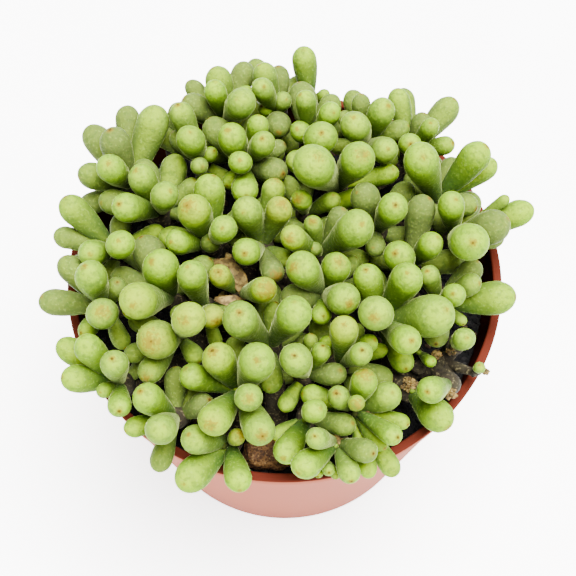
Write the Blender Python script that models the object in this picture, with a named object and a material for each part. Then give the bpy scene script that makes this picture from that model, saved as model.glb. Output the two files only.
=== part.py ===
"""A small tylecodon in a round plastic nursery pot, on Z up, standing on z = 0."""

import math

import bmesh
import bpy
import numpy as np
from mathutils import Vector

# Sizes below are in millimetres and become metres where a mesh is made
mm = 0.001

# Pot: a turned shell, wider at the mouth, with a thicker collar
rimRadius = 52.5
rimWidth = 2.1
potHeight = 77.0
collarHeight = 4.0
collarStep = 0.5
wallThick = 1.6
footRadius = 39.2
footWidth = 4.5
floorLift = 2.0
floorThick = 2.0
padRadius = 14.0
drainRadius = 3.5
drainCircle = 24.0
drainCount = 8
potSides = 32

# Soil: fills the pot to a little under the rim, in rings of these radii between its edges
soilTop = 67.0
soilRough = 0.5
soilRings = (38.0, 24.0)
gap = 0.3

# Caudex: the short swollen foot that all branches leave from
caudexRadius = 9.5
caudexDepth = 6.5
caudexTop = 78.0

# Pebble on the soil at the front: a unit ball, flattened under this height, then stretched
pebbleAt = (-3.6, -42.6)
pebbleSize = (11.0, 7.6, 6.4)
pebbleFlat = 0.82
pebbleLift = 0.45

# The eye point from which the leaves are placed, over the front of the pot
eye = np.array([0.8, -136.6, 346.2])
readShift = np.array([0.4, -0.6])

# Leaf form: the neck's part of the thickness and how fast it swells, the round end's length by
# the thickness, and where the bow's control point is
neck = 0.4
swellPower = 1.35
endByThick = 0.62
bow = 0.42
layerStretch = 0.05
capOverCrown = 13.0
leastReach = 1.03

# How far the round end turns up to the eye, for layers from -1, and less of it at the rim
upturns = (0.1, 0.2, 0.3, 0.38, 0.42)
edgeFrom = 34.0
edgeTo = 56.0
edgeUpturn = 0.35

# How leaves give way: the room they keep, how much of it along the line of sight, the part
# of the seen length that they may take, the depths of the rim's two rounds under the mouth,
# their radius, and how fast all of it moves
clearance = 0.45
sameCrownRoom = -0.2
sharedRoot = 0.45
depthShare = 0.75
lengthRange = (0.8, 1.4)
rimRounds = (1.4, 5.5)
rimRound = 1.9
soilRoom = 1.2
settleRounds = 300
settlePace = 0.45

# Leaves on the far sides of the crowns: tries, sizes, and where they may point
hiddenTries = 40
hiddenThick = (4.8, 7.2)
hiddenLift = (5.0, 50.0)
hiddenApart = 42.0
hiddenLayer = -2
toEyeMost = 0.45
outwardLeast = 0.25
middleSpread = 0.3
innerSpread = 0.47
outerSpread = 0.6
seed = 7

# Each crown: where it is seen on the plane of the pot's mouth, its height, and its leaves.
# A leaf is where the middle of its round end is seen, its thickness, and its layer, the
# higher the nearer to the eye.
crowns = {
    "a": (-39, 25, 87, [(-48, 38.3, 7.5, -1), (-40.5, 44.5, 6.5, -1), (-41, 36, 8, -1),
                        (-43, 30.2, 7.5, 0), (-48.5, 27.8, 7, -1), (-34.3, 43, 8.5, 0)]),
    "b": (-31, 17.5, 88, [(-30, 31.8, 7, 0), (-36, 27, 7.4, 0), (-30.5, 22.3, 7.3, 1),
                          (-39.5, 18.8, 7.5, 1), (-42.8, 20.2, 6.5, -1), (-24.2, 24.3, 4.8, -1)]),
    "c": (-42, 7, 85, [(-52.5, 17.8, 7.2, 0), (-53.8, 10.2, 5.5, -1), (-47.5, 5.6, 6.8, 0),
                       (-39.4, 8.2, 7.2, 2), (-32.3, 13, 4.6, 0)]),
    "d": (-43, -8.5, 85, [(-47, -0.7, 8, 1), (-43.7, -10.5, 7.8, 2), (-40.7, -3, 5, -1),
                          (-47, -14.5, 4.5, 0), (-39, -17, 4.5, -1)]),
    "e": (-38.5, -28, 83, [(-46.2, -19.8, 7, 1), (-50.6, -20, 6.2, 0), (-48.6, -26.8, 6.6, 0),
                           (-40.2, -23.3, 6.8, 2), (-42, -30, 3.6, 0), (-38.4, -33.6, 5.5, 1)]),
    "f": (-27.5, -6, 88, [(-35.3, -6.8, 9.2, 2), (-36.5, -10.5, 5, 0), (-30.2, 1, 9.5, 1),
                          (-33.5, 3.5, 8.5, 0)]),
    "g": (-25.5, -16, 86, [(-23.7, -12, 8.2, 3), (-29.5, -17.3, 9.9, 2), (-30.5, -24.8, 6, 0),
                           (-21.6, -21.3, 4.6, 0), (-35.3, -20.5, 4.8, -1)]),
    "h": (-25.5, -36.5, 81, [(-31.8, -32, 7.2, 1), (-28.5, -39.5, 7.4, 2),
                             (-34.3, -38.9, 4.8, 0), (-26.5, -30.8, 5.8, -1)]),
    "i": (-10.5, -30, 83, [(-15.8, -22.2, 8, 2), (-6.9, -23.5, 8.9, 3), (-8.5, -31.2, 6.6, 3),
                           (-21.5, -26.5, 6.2, 1), (-16.5, -37.2, 7.8, 2), (-6.6, -39.5, 7.5, 2)]),
    "j": (-12.8, -42.5, 79, [(-20.3, -42, 7, 1), (-20.8, -50, 7.8, 0), (-10.8, -51, 6.2, 1),
                             (-11.2, -41.2, 4.2, 1)]),
    "k": (-4, -18.5, 87, [(-10.9, -12, 8.8, 3), (1.9, -10.3, 8.6, 3), (-4, -26, 6, -1),
                          (-3, -10, 4.6, -1)]),
    "l": (4.5, -26, 84, [(2.2, -22.3, 8, 3), (8.4, -21, 4.8, 1), (9.2, -18.3, 3.8, 0),
                         (2.6, -30.7, 4.4, 1), (5.7, -17.7, 3.5, 0)]),
    "m": (15, -34.5, 82, [(12.5, -35.8, 5.6, 2), (15.8, -32.5, 3.7, 3), (17.7, -28, 6.4, 1),
                          (21.8, -30.7, 7, 0), (26, -37.6, 3.8, 1), (23.8, -41.3, 4.7, 1),
                          (20.3, -42.3, 4.8, 0), (15.7, -47, 4.3, 1), (10.6, -29.6, 5.8, 1),
                          (19.3, -48.5, 4.8, 0)]),
    "n": (5, -36.5, 80, [(0.6, -44.2, 6.6, 1), (-1, -40.5, 4, 0), (6.8, -34, 5.9, 1)]),
    "o": (11.5, -42.5, 80, [(7, -39.8, 5.2, 2), (4.6, -47.5, 6.6, 1), (14.5, -48.8, 5, 0)]),
    "p": (12.5, -23.5, 85, [(16.3, -23, 5.6, 2), (14.2, -19.3, 4.2, 0), (18.7, -18.3, 4.6, 1),
                            (21.8, -20, 3.6, 0), (13.8, -14.5, 6.8, 2)]),
    "q": (9, -5, 89, [(13.6, -6.8, 8.2, 2), (12, 1.6, 7.6, 1), (3.9, 1.4, 8.4, 1),
                      (4, -6.3, 7.6, 0), (8.3, -10.3, 5, 1)]),
    "r": (22, -12.5, 86, [(21.2, -10.2, 8.6, 3), (28.6, -17, 6.9, 2), (27, -22.2, 5.6, 0),
                          (34.5, -11, 10.6, 1), (29, -1.2, 8, 2), (19.7, -1.4, 7.3, 0)]),
    "s": (36.5, -7.5, 84, [(50, -6.2, 8.4, 0), (40.3, -5.5, 5.8, 1), (43.8, -2.7, 5.4, 0),
                           (34.6, -0.5, 5.3, 1), (43.3, 2, 6, -1), (41.4, -12, 2.8, 0)]),
    "t": (39.6, -18.6, 84, [(41.8, -17, 5.6, 0)]),
    "u": (31, -20.3, 80, [(33.6, -22.8, 3, 1)]),
    "v": (44.5, -25, 84, [(45, -24.3, 2.9, 0)]),
    "w": (28.5, -30, 79, [(34.5, -36, 7.6, 0)]),
    "x": (37.8, -28.2, 83, [(33.4, -30, 6.4, 2)]),
    "y": (30, 2.5, 87, [(27.5, 4.8, 8, 1), (35.2, 8.2, 6.5, 1), (33.4, 17.6, 7.4, 1)]),
    "z": (41, 10.5, 86, [(45, 9, 9.7, 2), (50, 14.5, 9, 1), (57.2, 17, 6.8, 0),
                         (40.8, 19.2, 7.1, 2), (53.2, 21.3, 2.8, 0)]),
    "A": (22, 12, 89, [(26.3, 18.5, 7.8, 2), (19.9, 21.2, 7.8, 1), (28.3, 10.2, 6, -1),
                       (29.3, 22.7, 6, -1), (21.8, 7.6, 5, -1)]),
    "B": (8.5, 5.5, 88, [(17, 12.8, 9.4, 3), (13, 16, 5.5, -1), (6.6, 13.7, 4.7, 0),
                         (1.8, 10, 6.5, 3), (6.9, 7, 3.6, -1)]),
    "C": (4.5, 17, 88, [(3.8, 20.8, 5.4, 1), (11, 20.6, 4.8, 0), (15.2, 24.4, 4.9, 1),
                        (1, 24.4, 5, -1)]),
    "D": (-6, 7.5, 88, [(-9.7, 17.5, 7.8, 2), (-3.6, 23.5, 6, 1), (-9.7, 6.2, 7.2, 3),
                        (-2.5, 5, 4.8, -1), (-3.3, 0.8, 5.8, 1), (-1.8, 17.8, 6.8, 2)]),
    "E": (-18.5, 8.5, 88, [(-22.8, 17.5, 8.8, 2), (-26.3, 9, 6.5, 2), (-19.3, 23, 8, 0),
                           (-15.6, 12.5, 6.8, 3), (-28.3, 9.8, 6, 0), (-18.3, 9, 5, -1)]),
    "F": (-11, -5, 87, [(-16.3, -0.3, 5.5, 2), (-5.5, -5, 6.6, 1)]),
    "G": (-10.5, 31, 88, [(-8.2, 43, 5.8, 1), (-5.9, 37.2, 6.6, 2), (-14.6, 38.5, 8, 1),
                          (-12.2, 32.5, 6, 2), (-3.2, 29.5, 7, 0), (-10.8, 24, 6.8, 1),
                          (-13.3, 26.5, 4.8, 0)]),
    "H": (-21.5, 32, 88, [(-24.2, 37, 7.6, 0), (-22.7, 32.3, 4.5, 0), (-19.2, 35.2, 4.2, 0),
                          (-17.8, 29.5, 4.5, -1), (-28, 36.5, 5, -2), (-23.3, 45.5, 6.5, 0)]),
    "I": (-15.5, 43.5, 86.5, [(-17.3, 56, 7.3, 0), (-18.3, 53, 6, 1), (-12.3, 58, 6.5, -1),
                            (-10.8, 52, 5, 1), (-23.8, 53.8, 5, -1), (-14.9, 45.2, 8, 1),
                            (-23.3, 49, 7, -1)]),
    "J": (-29.5, 38.5, 83, [(-29, 46, 5.5, -1), (-32, 45.5, 4, -2)]),
    "K": (-2.5, 46.5, 86, [(-5.5, 58.5, 6.5, 0), (-5.8, 55, 6, 1), (-1.8, 57, 6, -1),
                           (-3.9, 47.5, 3.8, 0), (0.9, 49.5, 5, 0), (5.5, 53, 5.5, -1),
                           (-1.3, 43.5, 7, 0)]),
    "L": (6.5, 38, 87, [(5.1, 49, 5.6, 1), (10.5, 46.5, 6, 1), (4.2, 42, 5.8, 0),
                        (8.7, 39.2, 8.8, 2)]),
    "M": (12.5, 24.5, 88, [(7, 31, 11, 3), (3, 31.5, 6, 0), (18, 32.3, 9.2, 3),
                           (25.2, 28.3, 5.5, 1)]),
    "N": (20.5, 37.5, 87, [(17.6, 42.5, 8, 2), (24.2, 47, 7.3, 1), (16, 49.5, 6, -1),
                           (19, 49, 5, -1), (24.9, 35.3, 7, 1), (14.3, 46.3, 4.5, -1)]),
    "O": (31.5, 35, 84, [(28.3, 49, 5.8, 0), (30.3, 50.3, 6, -1), (31, 38.5, 6, 0),
                         (34.8, 43, 5.5, -1), (36.7, 42.3, 5, 0), (40.3, 36, 5, 0)]),
    "P": (37.5, 20.5, 87, [(34, 32, 9.5, 2), (47.8, 33.2, 7.8, 1), (50, 29, 6, 0)]),
    "Q": (6, 49.5, 84, [(4, 61.6, 6.7, 0), (6.5, 51.5, 3.5, 0)]),
    "S": (-19.5, -9, 86, [(-22.7, -0.2, 7.6, 2), (-17.6, -11.2, 6, 0), (-16.8, -17, 3.4, -1)]),
    "U": (8.8, -46.3, 78, [(9.3, -48.6, 2.8, 1), (7.6, -49.4, 2.2, 0), (10.5, -49.3, 2.2, 0)]),
    "V": (-11.5, -10.5, 81, [(-14.8, -6.9, 2.8, -1)]),
    "W": (-11.5, -1.2, 84, [(-13.6, 1.6, 4.6, -1)]),
}
withered = "VW"
tiny = "U"

# Each limb: the limb that it leaves, its fork, and the crowns whose twigs leave that fork
limbs = {
    "backLeft": ("", (-26, 12, 77), "abJH"),
    "left": ("", (-29, -3, 76), "cdfE"),
    "frontLeft": ("", (-22, -22, 74.5), "eghS"),
    "front": ("", (-4, -26, 74), "ijnkl"),
    "frontRight": ("", (13, -28, 74.5), "mpoU"),
    "bare": ("", (28, -24.5, 74), "wu"),
    "bareFork": ("bare", (37, -24, 78.5), "vtx"),
    "right": ("", (28, 0, 76), "rsyzPA"),
    "backRight": ("", (17, 22, 78), "ONLM"),
    "back": ("", (-5, 25, 78), "KQGI"),
    "middle": ("", (-1, -1, 78), "BDFqCVW"),
}


def unit(vector):
    return vector / np.linalg.norm(vector)


def nearness(height):
    """A real size at this height, as a part of the size seen on the plane of the mouth."""
    return (eye[2] - height) / (eye[2] - potHeight)


def seenAt(x, y, height):
    """The point at this height that the eye sees at (x, y) on the plane of the mouth."""
    flat = np.array([x + readShift[0], y + readShift[1], potHeight])
    return eye + (flat - eye) * nearness(height)


def usualLength(thick):
    return 1.8 * thick + 4.5


def endLength(thick):
    return endByThick * thick


def radiusAt(along, thick, length):
    """Radius of a leaf: a narrow neck that swells to the widest place, then a round end."""
    widest = 1 - endLength(thick) / length
    swell = np.sin(np.pi / 2 * np.clip(along / widest, 0, 1)) ** swellPower
    end = np.sqrt(np.clip(1 - ((along - widest) / (1 - widest)) ** 2, 0, 1))
    return thick / 2 * np.where(along < widest, neck + (1 - neck) * swell, end)


def seenLeaves():
    """Every leaf that is seen: its end lies on the eye's line, one leaf length from its crown."""
    leaves = []
    for name, (x, y, height, seen) in crowns.items():
        crown = seenAt(x, y, height)
        for leafX, leafY, thick, layer in seen:
            flat = seenAt(leafX, leafY, potHeight)
            sight = unit(eye - flat)
            near = flat + sight * np.dot(crown - flat, sight)
            aside = np.linalg.norm(near - crown)
            real = thick * nearness(height + capOverCrown)
            usual = usualLength(real) * (1 + layerStretch * layer) - endLength(real)
            reach = max(usual, aside * leastReach)
            cap = near + sight * math.sqrt(reach**2 - aside**2)
            edge = np.clip((math.hypot(leafX, leafY) - edgeFrom) / (edgeTo - edgeFrom), 0, 1)
            upturn = upturns[max(layer, -1) + 1] * (1 - edge * (1 - edgeUpturn))
            leaves.append(dict(crown=name, root=crown, cap=cap, thick=thick * nearness(cap[2]),
                               reach=reach, layer=layer, sight=sight, upturn=upturn))
    return leaves


def hiddenLeaves(leaves, draw):
    """Leaves on the far sides of the crowns, placed by the golden angle where there is room."""
    goldenAngle = math.pi * (3 - math.sqrt(5))
    hidden = []
    for name in crowns:
        mine = [leaf for leaf in leaves if leaf["crown"] == name]
        if len(mine) < 3 or name in tiny:
            continue
        crown = mine[0]["root"]
        taken = [unit(leaf["cap"] - crown) for leaf in mine]
        outward = unit(np.array([crown[0], crown[1], 0.001]))
        spread = math.hypot(crown[0], crown[1]) / rimRadius
        wanted = (spread > middleSpread) + (spread > outerSpread)
        toEye = unit(eye - crown)
        for step in range(hiddenTries):
            turn = step * goldenAngle + draw.uniform(-0.2, 0.2)
            lift = math.radians(draw.uniform(*hiddenLift))
            thick = draw.uniform(*hiddenThick)
            level = math.cos(lift)
            way = np.array([math.cos(turn) * level, math.sin(turn) * level, math.sin(lift)])
            reach = usualLength(thick) - endLength(thick)
            cap = crown + way * reach
            inFront = np.dot(way, toEye) > toEyeMost
            inward = spread > innerSpread and np.dot(way, outward) < outwardLeast
            nearest = max(np.dot(way, other) for other in taken)
            crowded = nearest > math.cos(math.radians(hiddenApart))
            tooLow = cap[2] - thick / 2 < soilTop + thick
            onRim = math.hypot(cap[0], cap[1]) > rimRadius - thick and cap[2] < potHeight + thick
            if wanted < 1 or inFront or inward or crowded or tooLow or onRim:
                continue
            hidden.append(dict(crown=name, root=crown, cap=cap, thick=thick, reach=reach,
                               layer=hiddenLayer, sight=way, upturn=0.0))
            taken.append(way)
            wanted -= 1
    return hidden


def bent(points, along):
    """Points along the cubic curve with these four control points, at parts of its length."""
    t = np.atleast_1d(along)[:, None]
    first, second, third, last = points
    return ((1 - t) ** 3 * first + 3 * t * (1 - t) ** 2 * second
            + 3 * t**2 * (1 - t) * third + t**3 * last)


# Stems: rings in each, the height in the caudex that the limbs leave from, and their radii.
# Twigs leave a limb one after the other, from the part of its length that comes first.
stemRings = 4
footHeight = 72.0
limbRadius = 3.4
branchRadius = 2.6
stemBend = 0.3
firstTwig = 0.96
twigStep = 0.08

# The green stem tip that a crown's leaves grow from: its size by the crown's thickest leaf,
# its depth under the point that the leaves leave, and the twig's width under it
largestCore = 2.9
coreByLeaf = 0.42
dropByCore = 1.4
twigByCore = 0.72
upwards = 0.8


def crownAxis(leaves, name):
    """The way that a crown faces: the middle of its leaves, turned a little upwards."""
    mine = [leaf for leaf in leaves if leaf["crown"] == name]
    ways = [unit(leaf["cap"] - leaf["root"]) for leaf in mine]
    return unit(sum(ways) + np.array([0, 0, upwards]))


def coreRadius(name):
    thick = max(leaf[2] for leaf in crowns[name][3])
    return min(largestCore, coreByLeaf * thick)


def stemDrop(name):
    return dropByCore * coreRadius(name)


def stemPaths(leaves):
    """The limbs and one twig for each crown: centre line, end radii and the way it ends."""
    paths = []
    along = np.linspace(0, 1, stemRings)
    foot = np.array([0.0, 0.0, footHeight])
    for name, (parent, fork, group) in limbs.items():
        fork = np.array(fork, float)
        start = np.array(limbs[parent][1], float) if parent else foot
        out = unit((fork - start) * [1, 1, 0])
        span = np.linalg.norm(fork - start)
        bend = [start, start + out * span * stemBend + [0, 0, 1.0],
                fork - out * span * stemBend, fork]
        wide = branchRadius if parent else limbRadius
        paths.append((name, bent(bend, along), wide, branchRadius, out))
        for order, crownName in enumerate(group):
            start = bent(bend, firstTwig - order * twigStep)[0]
            crown = next(leaf["root"] for leaf in leaves if leaf["crown"] == crownName)
            axis = crownAxis(leaves, crownName)
            end = crown - axis * stemDrop(crownName)
            reach = np.linalg.norm(end - start) * stemBend
            twig = [start, start + unit(end - start) * reach, end - axis * reach, end]
            endRadius = coreRadius(crownName) * twigByCore
            paths.append((crownName, bent(twig, along), endRadius + 0.3, endRadius, axis))
    return paths


def spheresAlong(paths):
    """Spheres that fill the stems, with the crown that each belongs to."""
    centres, radii, owners = [], [], []
    for name, points, startRadius, endRadius, _ in paths:
        last = len(points) - 1
        for k in range(last):
            for part in (0, 0.25, 0.5, 0.75):
                centres.append(points[k] * (1 - part) + points[k + 1] * part)
                radii.append(startRadius + (endRadius - startRadius) * (k + part) / last)
                owners.append(name)
    return np.array(centres), np.array(radii), owners


def centreLines(root, cap, thick, sight, upturn, along):
    """Points on each leaf's centre line: its neck leaves along the chord, its end turns up."""
    chord = cap - root
    reach = np.linalg.norm(chord, axis=1)
    way = chord / reach[:, None]
    turned = way * (1 - upturn)[:, None] + sight * upturn[:, None]
    turned = turned / np.linalg.norm(turned, axis=1)[:, None]
    length = reach + endLength(thick)
    widest = (reach / length)[:, None]
    middle = (cap - turned * (bow * reach)[:, None])[:, None]
    t = np.minimum(along[None] / widest, 1)[:, :, None]
    past = np.maximum(along[None] - widest, 0)[:, :, None] * length[:, None, None]
    curve = (1 - t) ** 2 * root[:, None] + 2 * t * (1 - t) * middle + t**2 * cap[:, None]
    return curve + past * turned[:, None]


stations = np.array([0.16, 0.28, 0.4, 0.52, 0.63, 0.73, 0.82, 0.9, 0.96])

# Leaves nearer than this part of both their lengths may touch
nearReach = 0.72


def worst(overlap):
    """For each row of a table of overlaps, the largest and where it is."""
    flat = overlap.reshape(len(overlap), -1)
    at = flat.argmax(1)
    return flat[np.arange(len(flat)), at], at


class Foliage:
    """All leaves together, each a chain of spheres, pushed clear of each other and the rest."""

    def __init__(self, leaves, paths):
        self.root = np.array([leaf["root"] for leaf in leaves])
        self.home = np.array([leaf["cap"] for leaf in leaves])
        self.cap = self.home.copy()
        self.thick = np.array([leaf["thick"] for leaf in leaves])
        self.usual = np.array([leaf["reach"] for leaf in leaves])
        self.layer = np.array([leaf["layer"] for leaf in leaves])
        self.upturn = np.array([leaf["upturn"] for leaf in leaves])
        self.sight = np.array([leaf["sight"] for leaf in leaves])
        self.owner = np.array([leaf["crown"] for leaf in leaves])
        stems, radii, owners = spheresAlong(paths)
        cores = {leaf["crown"]: leaf["root"] for leaf in leaves}
        self.things = np.concatenate([stems, np.array(list(cores.values()))])
        self.thingRadii = np.concatenate([radii, [coreRadius(name) for name in cores]])
        self.thingOwners = np.array(owners + list(cores))
        self.isCore = np.arange(len(self.things)) >= len(stems)

    def spheres(self):
        self.length = np.linalg.norm(self.cap - self.root, axis=1) + endLength(self.thick)
        widest = 1 - endLength(self.thick) / self.length
        self.lever = np.minimum(stations[None] / widest[:, None], 1)
        centres = centreLines(self.root, self.cap, self.thick, self.sight, self.upturn, stations)
        return centres, radiusAt(stations[None], self.thick[:, None], self.length[:, None])

    def findNeighbours(self):
        """Pairs of leaves, and of a leaf and a stem, that may touch in the next rounds."""
        centres, _ = self.spheres()
        middle = centres[:, len(stations) // 2]
        reach = self.length * nearReach
        apart = np.linalg.norm(middle[:, None] - middle[None], axis=2)
        near = apart < reach[:, None] + reach[None]
        self.first, self.second = np.nonzero(np.triu(near, 1))
        self.together = self.owner[self.first] == self.owner[self.second]
        apart = np.linalg.norm(middle[:, None] - self.things[None], axis=2)
        own = self.owner[:, None] == self.thingOwners[None]
        near = apart < reach[:, None] + 2 * largestCore
        self.leafBy, self.thingBy = np.nonzero(near & ~(own & self.isCore))

    def leafOverlaps(self, room):
        """How far each pair of leaves reaches into each other, where, and the way to part them."""
        centres, radii = self.spheres()
        across = centres[self.first][:, :, None] - centres[self.second][:, None]
        apart = np.linalg.norm(across, axis=3)
        needed = radii[self.first][:, :, None] + radii[self.second][:, None]
        needed = needed + np.where(self.together, sameCrownRoom, room)[:, None, None]
        overlap = needed - apart
        nearRoot = (stations[:, None] < sharedRoot) | (stations[None] < sharedRoot)
        overlap[self.together] = np.where(nearRoot[None], -1, overlap[self.together])
        depth, at = worst(overlap)
        a, b = at // len(stations), at % len(stations)
        rows = np.arange(len(at))
        way = across[rows, a, b] / np.maximum(apart[rows, a, b], 1e-6)[:, None]
        # Seen leaves part along the line of sight first, so that each stays where it is seen
        sight = self.sight[self.first]
        higher = self.layer[self.first] - self.layer[self.second]
        side = np.where(higher != 0, np.sign(higher), np.sign(np.sum(way * sight, axis=1)))
        seen = np.minimum(self.layer[self.first], self.layer[self.second]) > hiddenLayer
        share = np.where(seen, depthShare, 0)
        way = way * (1 - share)[:, None] + sight * (side * share)[:, None]
        return depth, a, b, way / np.linalg.norm(way, axis=1)[:, None]

    def thingOverlaps(self, room):
        """The same for each leaf and each stem sphere or crown near it."""
        centres, radii = self.spheres()
        across = centres[self.leafBy] - self.things[self.thingBy][:, None]
        apart = np.linalg.norm(across, axis=2)
        overlap = radii[self.leafBy] + self.thingRadii[self.thingBy][:, None] + room - apart
        depth, at = worst(overlap)
        rows = np.arange(len(at))
        return depth, at, across[rows, at] / np.maximum(apart[rows, at], 1e-6)[:, None]

    def potPush(self):
        """A push away from the rim, the wall under it and the soil."""
        centres, radii = self.spheres()
        push = np.zeros_like(self.cap)
        rows = np.arange(len(push))
        fromAxis = np.linalg.norm(centres[:, :, :2], axis=2)
        outward = centres[:, :, :2] / np.maximum(fromAxis, 1e-6)[:, :, None]
        for under in rimRounds:
            aside = fromAxis - (rimRadius - rimWidth / 2)
            above = centres[:, :, 2] - (potHeight - under)
            apart = np.hypot(aside, above)
            depth, at = worst(radii + rimRound + clearance - apart)
            share = np.where(depth > 0, depth / self.lever[rows, at] / apart[rows, at], 0)
            push[:, :2] += outward[rows, at] * (aside[rows, at] * share)[:, None]
            push[:, 2] += np.maximum(above[rows, at], 0.5) * share
        depth, at = worst(soilTop + soilRoom + radii - centres[:, :, 2])
        push[:, 2] += np.where(depth > 0, depth / self.lever[rows, at], 0)
        return push

    def settle(self):
        """Turns and stretches leaves a little at a time until none crosses another's node."""
        for turn in range(settleRounds):
            if turn % 20 == 0:
                self.findNeighbours()
            push = np.zeros_like(self.cap)
            depth, a, b, way = self.leafOverlaps(clearance)
            one, other = self.lever[self.first, a], self.lever[self.second, b]
            share = np.where(depth > 0, depth, 0) / (one**2 + other**2)
            np.add.at(push, self.first, way * (share * one)[:, None])
            np.add.at(push, self.second, -way * (share * other)[:, None])
            depth, at, way = self.thingOverlaps(clearance)
            share = np.where(depth > 0, depth, 0) / self.lever[self.leafBy, at]
            np.add.at(push, self.leafBy, way * (share * 0.5)[:, None])
            push += self.potPush() * 0.7
            back = self.home - self.cap
            deep = self.sight * np.sum(back * self.sight, axis=1)[:, None]
            pull = 0.06 if turn < settleRounds * 0.6 else 0.01
            self.cap = self.cap + push * settlePace + (back - deep) * pull + deep * pull * 0.2
            chord = self.cap - self.root
            reach = np.linalg.norm(chord, axis=1)
            shortest, longest = lengthRange
            allowed = np.clip(reach, self.usual * shortest, self.usual * longest)
            self.cap = self.root + chord * (allowed / reach)[:, None]

    def thin(self, room):
        """Makes leaves thinner where they still lie nearer than this to another node."""
        for _ in range(8):
            self.findNeighbours()
            factor = np.ones(len(self.thick))
            _, radii = self.spheres()
            depth, a, b, _ = self.leafOverlaps(room)
            both = radii[self.first, a] + radii[self.second, b]
            part = np.where((depth > 0) & ~self.together, 1 - depth / both, 1)
            np.minimum.at(factor, self.first, part)
            np.minimum.at(factor, self.second, part)
            depth, at, _ = self.thingOverlaps(room)
            part = np.where(depth > 0, 1 - depth / radii[self.leafBy, at], 1)
            np.minimum.at(factor, self.leafBy, np.maximum(part, 0.6))
            self.thick = self.thick * factor
            if factor.min() > 0.999:
                break


# Leaf rings in the solid, as parts of the neck and parts of the round end; slim leaves have
# fewer rings and sides
thickNeckRings = np.array([0.6, 1.0])
thickEndRings = np.array([0.72, 1.0])
thickSides = 6
slimNeckRings = np.array([0.7])
slimEndRings = np.array([0.3, 1.0])
slimSides = 5
slimThick = 6.2
rootSunk = 0.7

# A leaf's flat sides are drawn out by this much, to hold as much as its round form does
sidesOut = 1.05

# Part of a fused node's triangles that is kept when those along its seams are made fewer,
# and the points that its smallest real piece has
kept = 0.735
fewestPoints = 12
creaseAngle = math.radians(40)


def material(name, colour, roughness):
    made = bpy.data.materials.new(name)
    made.use_nodes = True
    shader = made.node_tree.nodes["Principled BSDF"]
    shader.inputs["Base Color"].default_value = (*colour, 1)
    shader.inputs["Roughness"].default_value = roughness
    shader.inputs["Metallic"].default_value = 0
    return made


def addObject(name, bm, made):
    """An object from a bmesh in millimetres, in the scene's own collection."""
    bmesh.ops.scale(bm, vec=(mm, mm, mm), verts=bm.verts)
    bmesh.ops.recalc_face_normals(bm, faces=bm.faces)
    mesh = bpy.data.meshes.new(name)
    bm.to_mesh(mesh)
    bm.free()
    mesh.materials.append(made)
    mesh.shade_smooth()
    mesh.set_sharp_from_angle(angle=creaseAngle)
    obj = bpy.data.objects.new(name, mesh)
    bpy.context.scene.collection.objects.link(obj)
    return obj


def addTube(bm, centres, radii, sides, across=(1, 1), endWay=None):
    """A closed tube of rings round a centre line. It ends in a point, or flat, facing endWay."""
    centres = [Vector(centre) for centre in centres]
    rings = []
    side = None
    for k, (centre, radius) in enumerate(zip(centres, radii)):
        last = k == len(centres) - 1
        ahead = centres[min(k + 1, len(centres) - 1)] - centres[max(k - 1, 0)]
        if last and endWay is not None:
            ahead = Vector(endWay)
        ahead.normalize()
        if side is None:
            side = ahead.orthogonal().normalized()
        side = (side - ahead * side.dot(ahead)).normalized()
        other = ahead.cross(side)
        if last and endWay is None:
            rings.append([bm.verts.new(centre)])
            break
        ring = []
        for n in range(sides):
            angle = 2 * math.pi * n / sides
            offset = side * math.cos(angle) * across[0] + other * math.sin(angle) * across[1]
            ring.append(bm.verts.new(centre + offset * radius))
        rings.append(ring)
    for ring, after in zip(rings, rings[1:]):
        for n in range(sides):
            m = (n + 1) % sides
            if len(after) == 1:
                bm.faces.new((ring[n], ring[m], after[0]))
            else:
                bm.faces.new((ring[n], ring[m], after[m]))
                bm.faces.new((ring[n], after[m], after[n]))
    bm.faces.new(rings[0][::-1])
    if len(rings[-1]) > 1:
        bm.faces.new(rings[-1])


def removeSpecks(mesh):
    """Takes out the specks of a few faces that a union can leave beside the solid."""
    bm = bmesh.new()
    bm.from_mesh(mesh)
    loose = set(bm.verts)
    while loose:
        island = {loose.pop()}
        edge = set(island)
        while edge:
            edge = {link.other_vert(vert) for vert in edge for link in vert.link_edges} - island
            island |= edge
        loose -= island
        if len(island) < fewestPoints:
            bmesh.ops.delete(bm, geom=list(island), context="VERTS")
    bm.to_mesh(mesh)
    bm.free()


def fused(name, pieces, made):
    """One solid from overlapping closed pieces, each a bmesh, by one Boolean union."""
    objects = [addObject(f"{name}_{k}", bm, made) for k, bm in enumerate(pieces)]
    base = objects[0]
    others = bpy.data.collections.new(name)
    for obj in objects[1:]:
        others.objects.link(obj)
    union = base.modifiers.new("Union", "BOOLEAN")
    union.operation = "UNION"
    union.operand_type = "COLLECTION"
    union.collection = others
    union.solver = "MANIFOLD"
    fewer = base.modifiers.new("Fewer", "DECIMATE")
    fewer.ratio = kept
    bpy.context.view_layer.update()
    graph = bpy.context.evaluated_depsgraph_get()
    mesh = bpy.data.meshes.new_from_object(base.evaluated_get(graph))
    for obj in objects:
        bpy.data.objects.remove(obj)
    bpy.data.collections.remove(others)
    removeSpecks(mesh)
    mesh.name = name
    mesh.shade_smooth()
    mesh.set_sharp_from_angle(angle=creaseAngle)
    obj = bpy.data.objects.new(name, mesh)
    bpy.context.scene.collection.objects.link(obj)


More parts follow.
